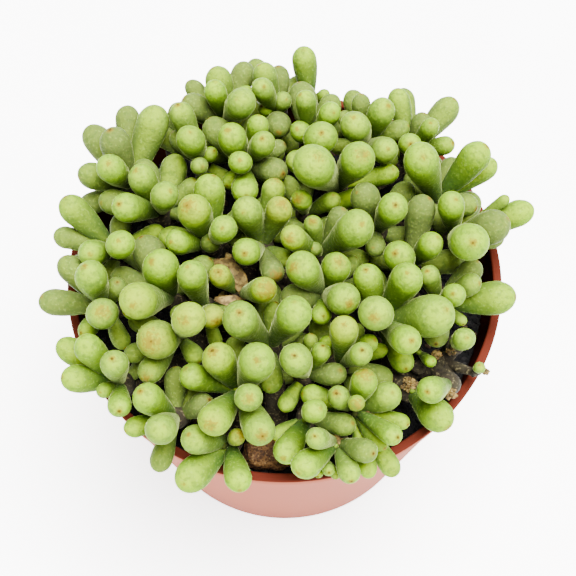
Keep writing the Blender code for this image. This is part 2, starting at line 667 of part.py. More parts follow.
def turned(name, profile, sides, made, lift=None):
    """A solid of revolution from an outline (radius, height) that starts and ends on the axis."""
    bm = bmesh.new()
    rings = []
    for radius, height in profile:
        if radius == 0:
            rings.append([bm.verts.new((0, 0, height))])
            continue
        ring = []
        for n in range(sides):
            angle = 2 * math.pi * n / sides
            x, y = radius * math.cos(angle), radius * math.sin(angle)
            raised = lift(x, y, height) if lift else 0
            ring.append(bm.verts.new((x, y, height + raised)))
        rings.append(ring)
    for ring, after in zip(rings, rings[1:]):
        for n in range(sides):
            m = (n + 1) % sides
            if len(ring) == 1:
                bm.faces.new((ring[0], after[n], after[m]))
            elif len(after) == 1:
                bm.faces.new((ring[n], after[0], ring[m]))
            else:
                bm.faces.new((ring[n], after[n], after[m], ring[m]))
    bmesh.ops.triangulate(bm, faces=bm.faces)
    return addObject(name, bm, made)


def wallAt(height):
    """Outer radius of the pot's wall under its collar."""
    top = potHeight - collarHeight
    return footRadius + (rimRadius - 0.9 - footRadius) * height / top


def buildPot(made):
    floorTop = floorLift + floorThick
    collar = potHeight - collarHeight
    profile = [
        (0, 0),
        (padRadius, 0),
        (padRadius + 1, floorLift),
        (footRadius - footWidth, floorLift),
        (footRadius - footWidth + 0.6, 0),
        (footRadius - 0.5, 0),
        (wallAt(0.6), 0.6),
        (wallAt(collar), collar),
        (rimRadius - 0.9 + collarStep, collar + 0.2),
        (rimRadius, potHeight - 0.4),
        (rimRadius - 0.4, potHeight),
        (rimRadius - rimWidth + 0.3, potHeight),
        (rimRadius - rimWidth, potHeight - 0.3),
        (wallAt(collar) - wallThick, collar),
        (wallAt(floorTop) - wallThick, floorTop),
        (0, floorTop),
    ]
    pot = turned("pot", profile, potSides, made)
    drains = bmesh.new()
    for n in range(drainCount):
        angle = 2 * math.pi * (n + 0.5) / drainCount
        at = (drainCircle * math.cos(angle), drainCircle * math.sin(angle), floorLift + 1)
        hole = bmesh.ops.create_cone(drains, cap_ends=True, segments=10, radius1=drainRadius,
                                     radius2=drainRadius, depth=floorThick * 3)
        bmesh.ops.translate(drains, vec=at, verts=hole["verts"])
    cutter = addObject("drainCutter", drains, made)
    cutter.hide_render = True
    cutter.display_type = "WIRE"
    cut = pot.modifiers.new("Drain holes", "BOOLEAN")
    cut.operation = "DIFFERENCE"
    cut.solver = "EXACT"
    cut.object = cutter


def soilLift(x, y, height):
    """Small humps in the top of the soil, none at its walls."""
    if height < soilTop:
        return 0
    fall = min(1, (rimRadius - 4 - math.hypot(x, y)) / 6)
    wave = math.sin(x * 0.31 + 1) * math.cos(y * 0.27) + math.sin(x * 0.13 - y * 0.19)
    return soilRough * wave * 0.5 * max(fall, 0.2)


def buildSoil(made):
    floorTop = floorLift + floorThick
    holeFloor = soilTop - caudexDepth - gap
    profile = [
        (0, floorTop + gap),
        (wallAt(floorTop) - wallThick - gap, floorTop + gap),
        (wallAt(soilTop) - wallThick - gap, soilTop),
        *[(radius, soilTop) for radius in soilRings],
        (caudexRadius + gap, soilTop),
        (caudexRadius + gap, holeFloor),
        (0, holeFloor),
    ]
    turned("soil", profile, potSides, made, soilLift)


def buildPebble(made):
    """A rough oval stone with a small flat under it."""
    bm = bmesh.new()
    bmesh.ops.create_icosphere(bm, subdivisions=2, radius=1)
    length, depth, height = pebbleSize
    under = soilTop + soilLift(*pebbleAt, soilTop) + pebbleLift
    for vert in bm.verts:
        x, y, z = vert.co
        rough = 1 + 0.07 * math.sin(5 * x + 2) * math.cos(4 * y) + 0.05 * math.sin(6 * z + 3 * x)
        lift = max(z * rough, -pebbleFlat) + pebbleFlat
        vert.co = (
            pebbleAt[0] + x * rough * length / 2,
            pebbleAt[1] + y * rough * depth / 2,
            under + lift * height / (1 + pebbleFlat),
        )
    addObject("pebble", bm, made)


def buildBark(paths, made):
    """Caudex, limbs and twigs as one body; each crown's twig ends in a flat face."""
    pieces = []
    caudex = bmesh.new()
    base = soilTop - caudexDepth
    heights = [base, soilTop, soilTop + 4, soilTop + 8, caudexTop]
    radii = [caudexRadius - 1, caudexRadius, caudexRadius + 0.8, caudexRadius - 1.2, 4.5]
    addTube(caudex, [(0, 0, height) for height in heights], radii, 12, endWay=(0, 0, 1))
    pieces.append(caudex)
    for name, points, startRadius, endRadius, endWay in paths:
        tube = bmesh.new()
        radii = np.linspace(startRadius, endRadius, len(points))
        addTube(tube, points, radii, 7 if name in limbs else 5, endWay=endWay)
        pieces.append(tube)
    fused("bark", pieces, made)


def leafPiece(foliage, k):
    """One leaf of a crown, its root sunk in the core."""
    thick = foliage.thick[k]
    slim = thick < slimThick
    name = foliage.owner[k]
    length = foliage.length[k]
    widest = 1 - endLength(thick) / length
    neckRings = slimNeckRings if slim else thickNeckRings
    endRings = slimEndRings if slim else thickEndRings
    start = rootSunk * coreRadius(name) / length
    along = np.concatenate([[start], widest * neckRings, widest + (1 - widest) * endRings])
    row = slice(k, k + 1)
    line = centreLines(foliage.root[row], foliage.cap[row], foliage.thick[row],
                       foliage.sight[row], foliage.upturn[row], along)[0]
    bm = bmesh.new()
    across = (1, 0.5) if name in withered else (1, 1)
    radii = radiusAt(along, thick, length) * sidesOut
    addTube(bm, line, radii, slimSides if slim else thickSides, across)
    return bm


def corePiece(crown, axis, radius, drop):
    """The green stem tip of a crown: a short column with a round top."""
    bm = bmesh.new()
    along = np.array([gap - drop, -0.35 * radius, 0.5 * radius, radius])
    addTube(bm, crown + axis * along[:, None], radius * np.array([0.72, 1.0, 0.86, 0]), 7)
    return bm


def buildCrowns(foliage, axes, green, tan):
    for limb, (_, _, group) in limbs.items():
        for order, name in enumerate(group, 1):
            rows = np.nonzero(foliage.owner == name)[0]
            crown = foliage.root[rows[0]]
            core = corePiece(crown, axes[name], coreRadius(name), stemDrop(name))
            pieces = [core] + [leafPiece(foliage, k) for k in rows]
            kind, made = ("witheredLeaf", tan) if name in withered else ("leaves", green)
            fused(f"{kind}_{limb}_{order}", pieces, made)


def main():
    for obj in list(bpy.data.objects):
        bpy.data.objects.remove(obj)
    leaves = seenLeaves()
    leaves += hiddenLeaves(leaves, np.random.default_rng(seed))
    axes = {name: crownAxis(leaves, name) for name in crowns}
    paths = stemPaths(leaves)
    foliage = Foliage(leaves, paths)
    foliage.settle()
    foliage.thin(gap)
    buildPot(material("potPlastic", (0.62, 0.36, 0.27), 0.55))
    buildSoil(material("soilDark", (0.018, 0.014, 0.012), 0.95))
    buildPebble(material("pebbleStone", (0.26, 0.13, 0.06), 0.9))
    buildBark(paths, material("bark", (0.2, 0.16, 0.11), 0.9))
    leafGreen = material("leafGreen", (0.45, 0.6, 0.2), 0.45)
    buildCrowns(foliage, axes, leafGreen, material("driedTan", (0.42, 0.28, 0.17), 0.9))


main()
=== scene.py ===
import math

import bmesh
import bpy
import numpy as np
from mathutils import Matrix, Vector


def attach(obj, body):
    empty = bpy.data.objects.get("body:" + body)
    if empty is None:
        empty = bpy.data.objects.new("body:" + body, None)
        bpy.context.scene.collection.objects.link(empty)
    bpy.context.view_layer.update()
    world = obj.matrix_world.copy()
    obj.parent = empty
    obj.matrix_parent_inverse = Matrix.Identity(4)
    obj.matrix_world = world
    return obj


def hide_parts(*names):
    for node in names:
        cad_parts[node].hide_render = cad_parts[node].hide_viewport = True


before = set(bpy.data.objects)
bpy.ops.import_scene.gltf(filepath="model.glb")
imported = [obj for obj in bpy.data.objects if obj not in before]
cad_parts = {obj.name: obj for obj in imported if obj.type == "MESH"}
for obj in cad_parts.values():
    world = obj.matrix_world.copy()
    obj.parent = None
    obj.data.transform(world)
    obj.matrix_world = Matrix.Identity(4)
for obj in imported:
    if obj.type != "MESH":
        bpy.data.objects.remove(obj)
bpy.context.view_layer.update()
scene = bpy.context.scene
mm = 0.001  # sizes below are in millimetres and become metres where a mesh is made


# What every piece uses

def linearColour(hexText):
    channels = [int(hexText[k:k + 2], 16) / 255 for k in (1, 3, 5)]
    return (*[c / 12.92 if c <= 0.04045 else ((c + 0.055) / 1.055) ** 2.4 for c in channels], 1)


def addNode(tree, kind, inputs=None, output=None, **settings):
    # Each input is a fixed value, a hex colour or the socket it is linked from
    node = tree.nodes.new(kind)
    for name, value in settings.items():
        setattr(node, name, value)
    for socket, value in (inputs or {}).items():
        if isinstance(value, bpy.types.NodeSocket):
            tree.links.new(value, node.inputs[socket])
        elif isinstance(value, str) and value.startswith("#"):
            node.inputs[socket].default_value = linearColour(value)
        else:
            node.inputs[socket].default_value = value
    if output is not None:
        return node.outputs[output]
    return next((socket for socket in node.outputs if socket.enabled), node)


def newMaterial(name, look):
    # A material and its signals: the object's own coordinates, noise with lumps of the look's
    # sizes in millimetres and its detail, and the mesh's attributes
    made = bpy.data.materials.new(name)
    made.use_nodes = True
    tree = made.node_tree
    shader = tree.nodes["Principled BSDF"]
    for socket, value in look["surface"].items():
        shader.inputs[socket].default_value = value
    place = addNode(tree, "ShaderNodeTexCoord", output="Object")
    signals = {"place": place}
    for key, (size, detail) in look["noise"].items():
        signals[key] = addNode(tree, "ShaderNodeTexNoise", {
            "Vector": place, "Scale": 1 / (size * mm), "Detail": detail})
    for key in look.get("attributes", ()):
        signals[key] = addNode(tree, "ShaderNodeAttribute", output="Fac", attribute_name=key)
    return made, tree, shader, signals


def dress(tree, shader, look, signals, relief="fine"):
    # Coats of colour, each laid on where its signal goes from low to high, to its full share,
    # and a relief of the look's depth in millimetres
    colour = look["base"]
    for signal, low, high, share, coat in look["coats"].values():
        amount = addNode(tree, "ShaderNodeMapRange", {0: signals[signal], 1: low, 2: high, 4: share},
                         interpolation_type="SMOOTHSTEP")
        colour = addNode(tree, "ShaderNodeMix", {0: amount, 6: colour, 7: coat}, data_type="RGBA")
    tree.links.new(colour, shader.inputs["Base Color"])
    bump = addNode(tree, "ShaderNodeBump", {"Height": signals[relief], "Distance": look["relief"] * mm})
    tree.links.new(bump, shader.inputs["Normal"])


def plainSkin(name, look):
    made, tree, shader, signals = newMaterial(name, look)
    dress(tree, shader, look, signals)
    return made


def newObject(name, mesh):
    obj = bpy.data.objects.new(name, mesh)
    scene.collection.objects.link(obj)
    return obj


def meshFrom(name, bm, material=None):
    bmesh.ops.scale(bm, vec=(mm, mm, mm), verts=bm.verts)
    mesh = bpy.data.meshes.new(name)
    bm.to_mesh(mesh)
    bm.free()
    mesh.shade_smooth()
    if material:
        mesh.materials.append(material)
    return newObject(name, mesh)


def newTree(name, values):
    # A tree with one named input for each value, of the value's kind
    kinds = {int: "Int", float: "Float", tuple: "Vector", bpy.types.Material: "Material"}
    tree = bpy.data.node_groups.new(name, "GeometryNodeTree")
    for way in ("INPUT", "OUTPUT"):
        tree.interface.new_socket("Geometry", in_out=way, socket_type="NodeSocketGeometry")
    for label, value in values.items():
        tree.interface.new_socket(label, in_out="INPUT", socket_type=f"NodeSocket{kinds[type(value)]}")
    return tree, tree.nodes.new("NodeGroupInput").outputs


def endTree(tree, geometry, given, stems=None):
    real = addNode(tree, "GeometryNodeRealizeInstances", {0: geometry})
    painted = addNode(tree, "GeometryNodeSetMaterial", {0: real, 2: given["Material"]})
    if stems is not None:
        painted = addNode(tree, "GeometryNodeSetMaterial", {0: painted, 1: stems, 2: given["Stem material"]})
    tree.links.new(painted, tree.nodes.new("NodeGroupOutput").inputs[0])


def grow(obj, tree, values):
    # Runs the tree on the object and keeps the result as its plain mesh. Decimal values are
    # millimetres, but flatness is a share and density is for a square millimetre.
    modifier = obj.modifiers.new(tree.name, "NODES")
    modifier.node_group = tree
    unitOf = {"Flatness": 1, "Density": 1 / mm**2}
    for item in tree.interface.items_tree:
        if item.in_out == "INPUT" and item.name in values:
            value = values[item.name]
            modifier[item.identifier] = value * unitOf.get(item.name, mm) if isinstance(value, float) else value
    keepResult(obj)


def keepResult(obj):
    bpy.context.view_layer.update()
    graph = bpy.context.evaluated_depsgraph_get()
    mesh = bpy.data.meshes.new_from_object(obj.evaluated_get(graph))
    obj.modifiers.clear()
    obj.data = mesh
    mesh.name = obj.name


def place(obj, slot, *nodes):
    if nodes:
        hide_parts(*nodes)
    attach(obj, "root")
    return sum(len(face.vertices) - 2 for face in obj.data.polygons)


# Skins, bumps and grains that several pieces share; what they are given is a piece's form

def tubes(tree, given):
    # Closed skin over centre lines, as wide as their points say
    circle = addNode(tree, "GeometryNodeCurvePrimitiveCircle", {"Resolution": given["Sides"], "Radius": 1.0})
    stretch = addNode(tree, "ShaderNodeCombineXYZ", {0: 1.0, 1: given["Flatness"], 2: 1.0})
    oval = addNode(tree, "GeometryNodeTransform", {0: circle, "Scale": stretch})
    width = addNode(tree, "GeometryNodeInputNamedAttribute", {"Name": "width"}, data_type="FLOAT")
    curve = addNode(tree, "GeometryNodeMeshToCurve", {0: given[0]})
    skin = addNode(tree, "GeometryNodeCurveToMesh", {0: curve, 1: oval, "Scale": width, "Fill Caps": True})
    closed = addNode(tree, "GeometryNodeMergeByDistance", {0: skin, "Distance": 0.02 * mm})
    return addNode(tree, "GeometryNodeSetShadeSmooth", {0: closed})


def pushed(tree, surface, given, name, seed, part=1.0):
    # Moves the surface in and out along its normals by noise of the named depth and size
    frequency = addNode(tree, "ShaderNodeMath", {0: 1.0, 1: given[name + " size"]}, operation="DIVIDE")
    lumps = addNode(tree, "ShaderNodeTexNoise", noise_dimensions="4D", inputs={
        "Vector": addNode(tree, "GeometryNodeInputPosition"), "W": seed, "Scale": frequency})
    far = addNode(tree, "ShaderNodeMath", {0: lumps, 1: 0.5}, operation="SUBTRACT")
    for factor in (given[name], part):
        far = addNode(tree, "ShaderNodeMath", {0: far, 1: factor}, operation="MULTIPLY")
    offset = addNode(tree, "ShaderNodeVectorMath", operation="SCALE", inputs={
        0: addNode(tree, "GeometryNodeInputNormal"), "Scale": far})
    return addNode(tree, "GeometryNodeSetPosition", {0: surface, "Offset": offset})


def scattered(tree, surface, given):
    # The surface, and small warts or grains all over it, each with a random number as its kind
    points = tree.nodes.new("GeometryNodeDistributePointsOnFaces")
    for socket, value in ((0, surface), ("Density", given["Density"]), ("Seed", given["Seed"])):
        tree.links.new(value, points.inputs[socket])
    ball = addNode(tree, "GeometryNodeMeshIcoSphere", {"Radius": 1.0, "Subdivisions": 1})
    stretch, lean = (
        addNode(tree, "FunctionNodeRandomValue", {0: least, 1: most, "Seed": given["Seed"]},
                data_type="FLOAT_VECTOR")
        for least, most in ((given["Least shape"], given["Most shape"]), ((-0.5, -0.5, 0.0), (0.5, 0.5, 6.28))))
    wide = addNode(tree, "FunctionNodeRandomValue", data_type="FLOAT", inputs={
        2: given["Smallest"], 3: given["Largest"], "Seed": given["Seed"]})
    size = addNode(tree, "ShaderNodeVectorMath", {0: stretch, "Scale": wide}, operation="SCALE")
    placed = addNode(tree, "GeometryNodeInstanceOnPoints", {
        0: points.outputs[0], 2: ball, 5: points.outputs[2], 6: size})
    turned = addNode(tree, "GeometryNodeRotateInstances", {0: placed, 2: lean})
    kind = addNode(tree, "FunctionNodeRandomValue", {"Seed": given["Seed"]}, data_type="FLOAT")
    grains = addNode(tree, "GeometryNodeStoreNamedAttribute", data_type="FLOAT", domain="INSTANCE",
                     inputs={0: turned, "Name": "grain", "Value": kind})
    both = addNode(tree, "GeometryNodeJoinGeometry", {0: surface})
    tree.links.new(grains, both.node.inputs[0])
    return both


def linesMesh(name, lines):
    # A mesh of edges from centre lines in millimetres; each line brings its points' attributes
    points, edges, values = [], [], {}
    for line in lines:
        first, count = len(points), len(line["points"])
        points.extend(tuple(point) for point in line["points"] * mm)
        edges.extend((first + k, first + k + 1) for k in range(count - 1))
        for key, value in line.items():
            if key != "points":
                shape = (count, 3) if key == "dotPlace" else count
                values.setdefault(key, []).append(np.broadcast_to(value, shape))
    mesh = bpy.data.meshes.new(name)
    mesh.from_pydata(points, edges, [])
    for key, parts in values.items():
        data = np.concatenate(parts) * (mm if key in ("width", "dotPlace", "dotSize", "blotch") else 1)
        kind, field = ("FLOAT_VECTOR", "vector") if data.ndim > 1 else ("FLOAT", "value")
        attribute = mesh.attributes.new(key, kind, "POINT")
        attribute.data.foreach_set(field, data.ravel().astype(np.float32))
    return newObject(name, mesh)


def skinRings(bm, rings):
    # Rings of places joined by faces; a ring of one place closes as a fan
    rings = [[bm.verts.new(spot) for spot in ring] for ring in rings]
    for ring, after in zip(rings, rings[1:]):
        for n in range(max(len(ring), len(after))):
            corners = [ring[n % len(ring)], after[n % len(after)], after[(n + 1) % len(after)],
                       ring[(n + 1) % len(ring)]]
            bm.faces.new(list(dict.fromkeys(corners)))


def circle(radius, count):
    turns = [2 * math.pi * n / count for n in range(count)]
    return [(radius * math.cos(turn), radius * math.sin(turn)) for turn in turns]


# Camera: the eye point over the front of the pot, which the leaves are placed from too
view = {
    "eye": (0.8, -136.6, 346.2),
    "target": (0.8, -4.2, 77.0),
    "sensor": 36.0,
    "lens": 77.94,
}

# Pot: a 10.5 cm nursery pot, wider at the mouth, with a thicker collar. It is matt moulded
# polypropylene, deep red-brown on the rim and pale on its outer wall, with even colour and a
# thin darker line under the collar. Its inside is darkened with painted shade, and its foot is a
# little darker and redder with painted shade and bounce light. Sizes are in millimetres; a coat
# of colour says its signal, where it starts and ends, its share and its colour.
pot = {
    "rimRadius": 52.5, "rimWidth": 2.1, "height": 77.0,
    "collar": 4.0, "collarStep": 0.5, "taperEnd": 0.9, "wall": 1.6,
    "footRadius": 39.2, "footWidth": 4.5, "floorLift": 2.0, "floor": 2.0, "padRadius": 14.0,
    "padSlope": 1.0, "footSlope": 0.6, "footBevel": 0.5, "collarSlope": 0.2,
    "rimBevel": 0.4, "mouthBevel": 0.3, "sides": 160, "edge": 0.35, "edgeShare": 0.4, "sharpFrom": 50,
    "drainRadius": 3.5, "drainCircle": 24.0, "drainCount": 8, "drainSides": 32, "lineWidth": 0.35,
    "surface": {"Roughness": 0.55, "IOR": 1.49, "Specular IOR Level": 0.01},
    "noise": {"clouds": (9, 3.0), "fine": (0.4, 2.0)},
    "base": "#793b24",
    "coats": {
        # Painted shade and bounce light from the floor: the foot is a little darker and redder
        "foot": ("axis", 7 * mm, 0.5 * mm, 1.0, "#7b3723"),
        "cloud": ("clouds", 0.35, 0.75, 0.15, "#7b3723"),
        "line": ("step", 0.0, 1.0, 0.5, "#7b3723"),
        # Painted shade: the inside of the pot is darkened almost to black
        "inside": ("beyond", 0.05 * mm, -0.05 * mm, 1.0, "#2c0f08"),
        "rim": ("axis", 76.3 * mm, 76.7 * mm, 1.0, "#461b11")},
    "relief": 0.02,
}


def wallAt(height):
    top = pot["height"] - pot["collar"]
    return pot["footRadius"] + (pot["rimRadius"] - pot["taperEnd"] - pot["footRadius"]) * height / top


def potSkin():
    made, tree, shader, signals = newMaterial("Matt terracotta polypropylene", pot)
    place = signals["place"]
    axis = addNode(tree, "ShaderNodeSeparateXYZ", {0: place}, output="Z")
    across = addNode(tree, "ShaderNodeVectorMath", {0: place, 1: (1.0, 1.0, 0.0)}, operation="MULTIPLY")
    radius = addNode(tree, "ShaderNodeVectorMath", {0: across}, output="Value", operation="LENGTH")
    collarFoot, middleFoot = pot["height"] - pot["collar"], wallAt(0) - pot["wall"] / 2
    slope = (wallAt(collarFoot) - wallAt(0)) / collarFoot
    middle = addNode(tree, "ShaderNodeMath", {0: axis, 1: slope, 2: middleFoot * mm}, operation="MULTIPLY_ADD")
    beyond = addNode(tree, "ShaderNodeMath", {0: radius, 1: middle}, operation="SUBTRACT")
    step = addNode(tree, "ShaderNodeMath", operation="COMPARE",
                   inputs={0: axis, 1: collarFoot * mm, 2: pot["lineWidth"] * mm})
    signals.update(axis=axis, beyond=beyond, step=step)
    dress(tree, shader, pot, signals)
    return made


def rounded(outline, radius):
    # Each corner of an outline becomes a short bow
    soft = [outline[0]]
    for before, corner, after in zip(outline, outline[1:], outline[2:]):
        before, corner, after = (np.array(point, float) for point in (before, corner, after))
        room = min(radius, *(norm(side) * pot["edgeShare"] for side in (corner - before, after - corner)))
        start, end = corner + unit(before - corner) * room, corner + unit(after - corner) * room
        for t in (0, 1 / 3, 2 / 3, 1):
            soft.append(tuple((1 - t) ** 2 * start + 2 * t * (1 - t) * corner + t**2 * end))
    return soft + [outline[-1]]


def buildPot():
    foot, rim, wall = pot["footRadius"], pot["rimRadius"], pot["wall"]
    lift, top, pad = pot["floorLift"], pot["height"], pot["padRadius"]
    floorTop, ring, inside = lift + pot["floor"], foot - pot["footWidth"], rim - pot["rimWidth"]
    collarFoot, slope = top - pot["collar"], pot["footSlope"]
    bevel, mouth = pot["rimBevel"], pot["mouthBevel"]
    outline = rounded([
        (0, 0), (pad, 0), (pad + pot["padSlope"], lift), (ring, lift), (ring + slope, 0),
        (foot - pot["footBevel"], 0), (wallAt(slope), slope), (wallAt(collarFoot), collarFoot),
        (rim - pot["taperEnd"] + pot["collarStep"], collarFoot + pot["collarSlope"]),
        (rim, top - bevel), (rim - bevel, top), (inside + mouth, top), (inside, top - mouth),
        (wallAt(collarFoot) - wall, collarFoot), (wallAt(floorTop) - wall, floorTop), (0, floorTop)],
        pot["edge"])
    bm = bmesh.new()
    skinRings(bm, [[(x, y, height) for x, y in circle(radius, pot["sides"] if radius else 1)]
                   for radius, height in outline])
    bmesh.ops.recalc_face_normals(bm, faces=bm.faces)
    shell = meshFrom("pot_skin", bm, potSkin())
    drains = bmesh.new()
    for n in range(pot["drainCount"]):
        turn = 2 * math.pi * (n + 0.5) / pot["drainCount"]
        at = Vector((math.cos(turn), math.sin(turn), 0)) * pot["drainCircle"] + Vector((0, 0, lift + 1))
        hole = bmesh.ops.create_cone(
            drains, cap_ends=True, segments=pot["drainSides"], radius1=pot["drainRadius"],
            radius2=pot["drainRadius"], depth=pot["floor"] * 3)
        bmesh.ops.translate(drains, vec=at, verts=hole["verts"])
    cutter = meshFrom("drainCutter", drains)
    cut = shell.modifiers.new("Drain holes", "BOOLEAN")
    cut.operation, cut.solver, cut.object = "DIFFERENCE", "EXACT", cutter
    keepResult(shell)
    shell.data.set_sharp_from_angle(angle=math.radians(pot["sharpFrom"]))
    bpy.data.objects.remove(cutter)
    print("pot:", place(shell, "pot", "pot"), "triangles")


# Soil: moist potting mix, near black and crumbly, with single grey and tan grains
soil = {
    "top": 67.0, "rough": 0.5, "lift": 0.35, "rings": 60, "sides": 150,
    "caudexRadius": 9.5, "caudexDepth": 6.5, "grains": 4200,
    "form": {
        "Lump": 2.0, "Lump size": 3.2, "Crumb": 0.9, "Crumb size": 1.0, "Seed": 4,
        "Smallest": 0.25, "Largest": 1.1, "Least shape": (0.75, 0.6, 0.56), "Most shape": (1.25, 1.0, 0.8)},
    "surface": {"Roughness": 0.85, "Specular IOR Level": 0.15},
    "noise": {"broad": (1.5, 5.0), "fine": (0.6, 5.0)},
    "attributes": ("grain",),
    "base": "#040404",
    "coats": {
        "brown": ("broad", 0.45, 0.65, 1.0, "#0c0908"), "grey": ("grain", 0.8, 0.95, 1.0, "#1c1a19"),
        "tan": ("grain", 0.965, 0.97, 1.0, "#35281c")},
    "relief": 0.3,
}


def soilLift(x, y):
    # The same slow waves as on the solid, lower towards the wall
    fall = min(1, (pot["rimRadius"] - 4 - math.hypot(x, y)) / 6)
    wave = math.sin(x * 0.31 + 1) * math.cos(y * 0.27) + math.sin(x * 0.13 - y * 0.19)
    return soil["rough"] * wave * 0.5 * max(fall, 0.2)


def buildSoil():
    outer = wallAt(soil["top"]) - pot["wall"] - leaf["gap"]
    inner = soil["caudexRadius"] + leaf["gap"]
    level = soil["top"] + soil["lift"]
    bm = bmesh.new()
    skinRings(bm, [[(x, y, level + soilLift(x, y)) for x, y in circle(radius, soil["sides"])]
                   for radius in np.linspace(inner, outer, soil["rings"] + 1)])
    crust = meshFrom("soil_crust", bm)
    skin = plainSkin("Dark potting mix", soil)
    area = math.pi * (outer**2 - inner**2)
    values = dict(soil["form"], Density=soil["grains"] / area, Material=skin)
    tree, given = newTree("Soil crust", values)
    ground = pushed(tree, given[0], given, "Lump", 1.0)
    ground = pushed(tree, ground, given, "Crumb", 2.0)
    endTree(tree, scattered(tree, ground, given), given)
    grow(crust, tree, values)
    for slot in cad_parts["soil"].material_slots:
        slot.material = skin
    print("soil:", place(crust, "soil"), "triangles")


# Pebble: rough natural stone, dull, lighter on its high spots and dark in its pits
pebble = {
    "at": (-3.6, -42.6), "size": (11.0, 7.6, 6.4), "flat": 0.82, "lift": 0.45,
    "stretch": (1.1, 1.2, 1.05), "forward": 0.6,
    "form": {"Lump": 1.1, "Lump size": 2.2, "Pit": 0.5, "Pit size": 0.7},
    "surface": {"Roughness": 0.75, "Specular IOR Level": 0.25},
    "noise": {"broad": (1.5, 5.0), "fine": (0.5, 5.0)},
    "base": "#482e17",
    "coats": {
        "light": ("broad", 0.42, 0.62, 1.0, "#674723"), "dark": ("fine", 0.48, 0.36, 0.8, "#24150b"),
        "speck": ("fine", 0.58, 0.7, 0.6, "#957a4c")},
    "relief": 0.3,
}


def buildPebble():
    bm = bmesh.new()
    bmesh.ops.create_icosphere(bm, subdivisions=5, radius=1)
    length, depth, height = np.array(pebble["size"]) * pebble["stretch"]
    x0, y0 = pebble["at"][0], pebble["at"][1] - pebble["forward"]
    under = soil["top"] + soilLift(x0, y0) + pebble["lift"]
    for vert in bm.verts:
        # The same slow waves as on the solid, and a flat underside
        x, y, z = vert.co
        rough = 1 + 0.07 * math.sin(5 * x + 2) * math.cos(4 * y) + 0.05 * math.sin(6 * z + 3 * x)
        lift = max(z * rough, -pebble["flat"]) + pebble["flat"]
        vert.co = (x0 + x * rough * length / 2, y0 + y * rough * depth / 2,
                   under + lift * height / (1 + pebble["flat"]))
    stone = meshFrom("pebble_skin", bm)
    values = dict(pebble["form"], Material=plainSkin("Rough brown stone", pebble))
    tree, given = newTree("Rough stone", values)
    skin = pushed(tree, given[0], given, "Lump", 4.0)
    skin = pushed(tree, skin, given, "Pit", 5.0)
    endTree(tree, skin, given)
    grow(stone, tree, values)
    print("pebble:", place(stone, "pebble", "pebble"), "triangles")


# The plant's layout, the same as that of the solids: seen leaves at the places read from the
# camera's point of view, hidden ones by rule, all pushed apart until they have room

# Leaf form, as fractions of the leaf's length and thickness, and how leaves give way
leaf = {
    "lengthByThick": 1.8, "lengthMore": 4.5, "neck": 0.4, "swell": 1.35, "endByThick": 0.62,
    "bow": 0.42, "layerStretch": 0.05,
    "capOverCrown": 13.0, "leastReach": 1.03, "readShift": (0.4, -0.6),
    "upturn": (0.1, 0.2, 0.3, 0.38, 0.42), "edgeFrom": 34.0, "edgeTo": 56.0, "edgeUpturn": 0.35,
    "depthShare": 0.75, "nearShare": 0.72, "rimLift": 0.5, "fromStem": 0.5, "fromPot": 0.7,
    "lookAgain": 20, "pull": 0.06, "latePull": 0.01, "lateFrom": 0.6, "deepPull": 0.2,
    "thinRounds": 8, "thinLeast": 0.6, "thinEnough": 0.999,
    "clearance": 0.45, "sameCrownRoom": -0.2, "sharedRoot": 0.45, "lengthRange": (0.8, 1.4),
    "rimRounds": (1.4, 5.5), "rimRound": 1.9, "soilRoom": 1.2, "rounds": 300, "pace": 0.45,
    "gap": 0.3, "ringsBelow": 14, "ringsAbove": 12, "rootSunk": 0.35,
}

# Leaves on the far sides of the crowns
hidden = {
    "tries": 40, "thick": (4.8, 7.2), "lift": (5.0, 50.0), "apart": 42.0, "toEyeMost": 0.45,
    "outwardLeast": 0.25, "middleSpread": 0.3, "innerSpread": 0.47, "outerSpread": 0.6, "seed": 7,
    "leastSeen": 3, "turnSpread": 0.2,
}

# Stems, and the green stem tip that a crown's leaves grow from
stem = {
    "footHeight": 72.0, "limbRadius": 3.4, "branchRadius": 2.6, "bend": 0.3,
    "rise": 1.0, "taper": 0.3, "firstTwig": 0.96, "twigStep": 0.08,
    "largestCore": 2.9, "coreByLeaf": 0.42, "dropByCore": 1.4, "twigByCore": 0.72, "upwards": 0.8,
}

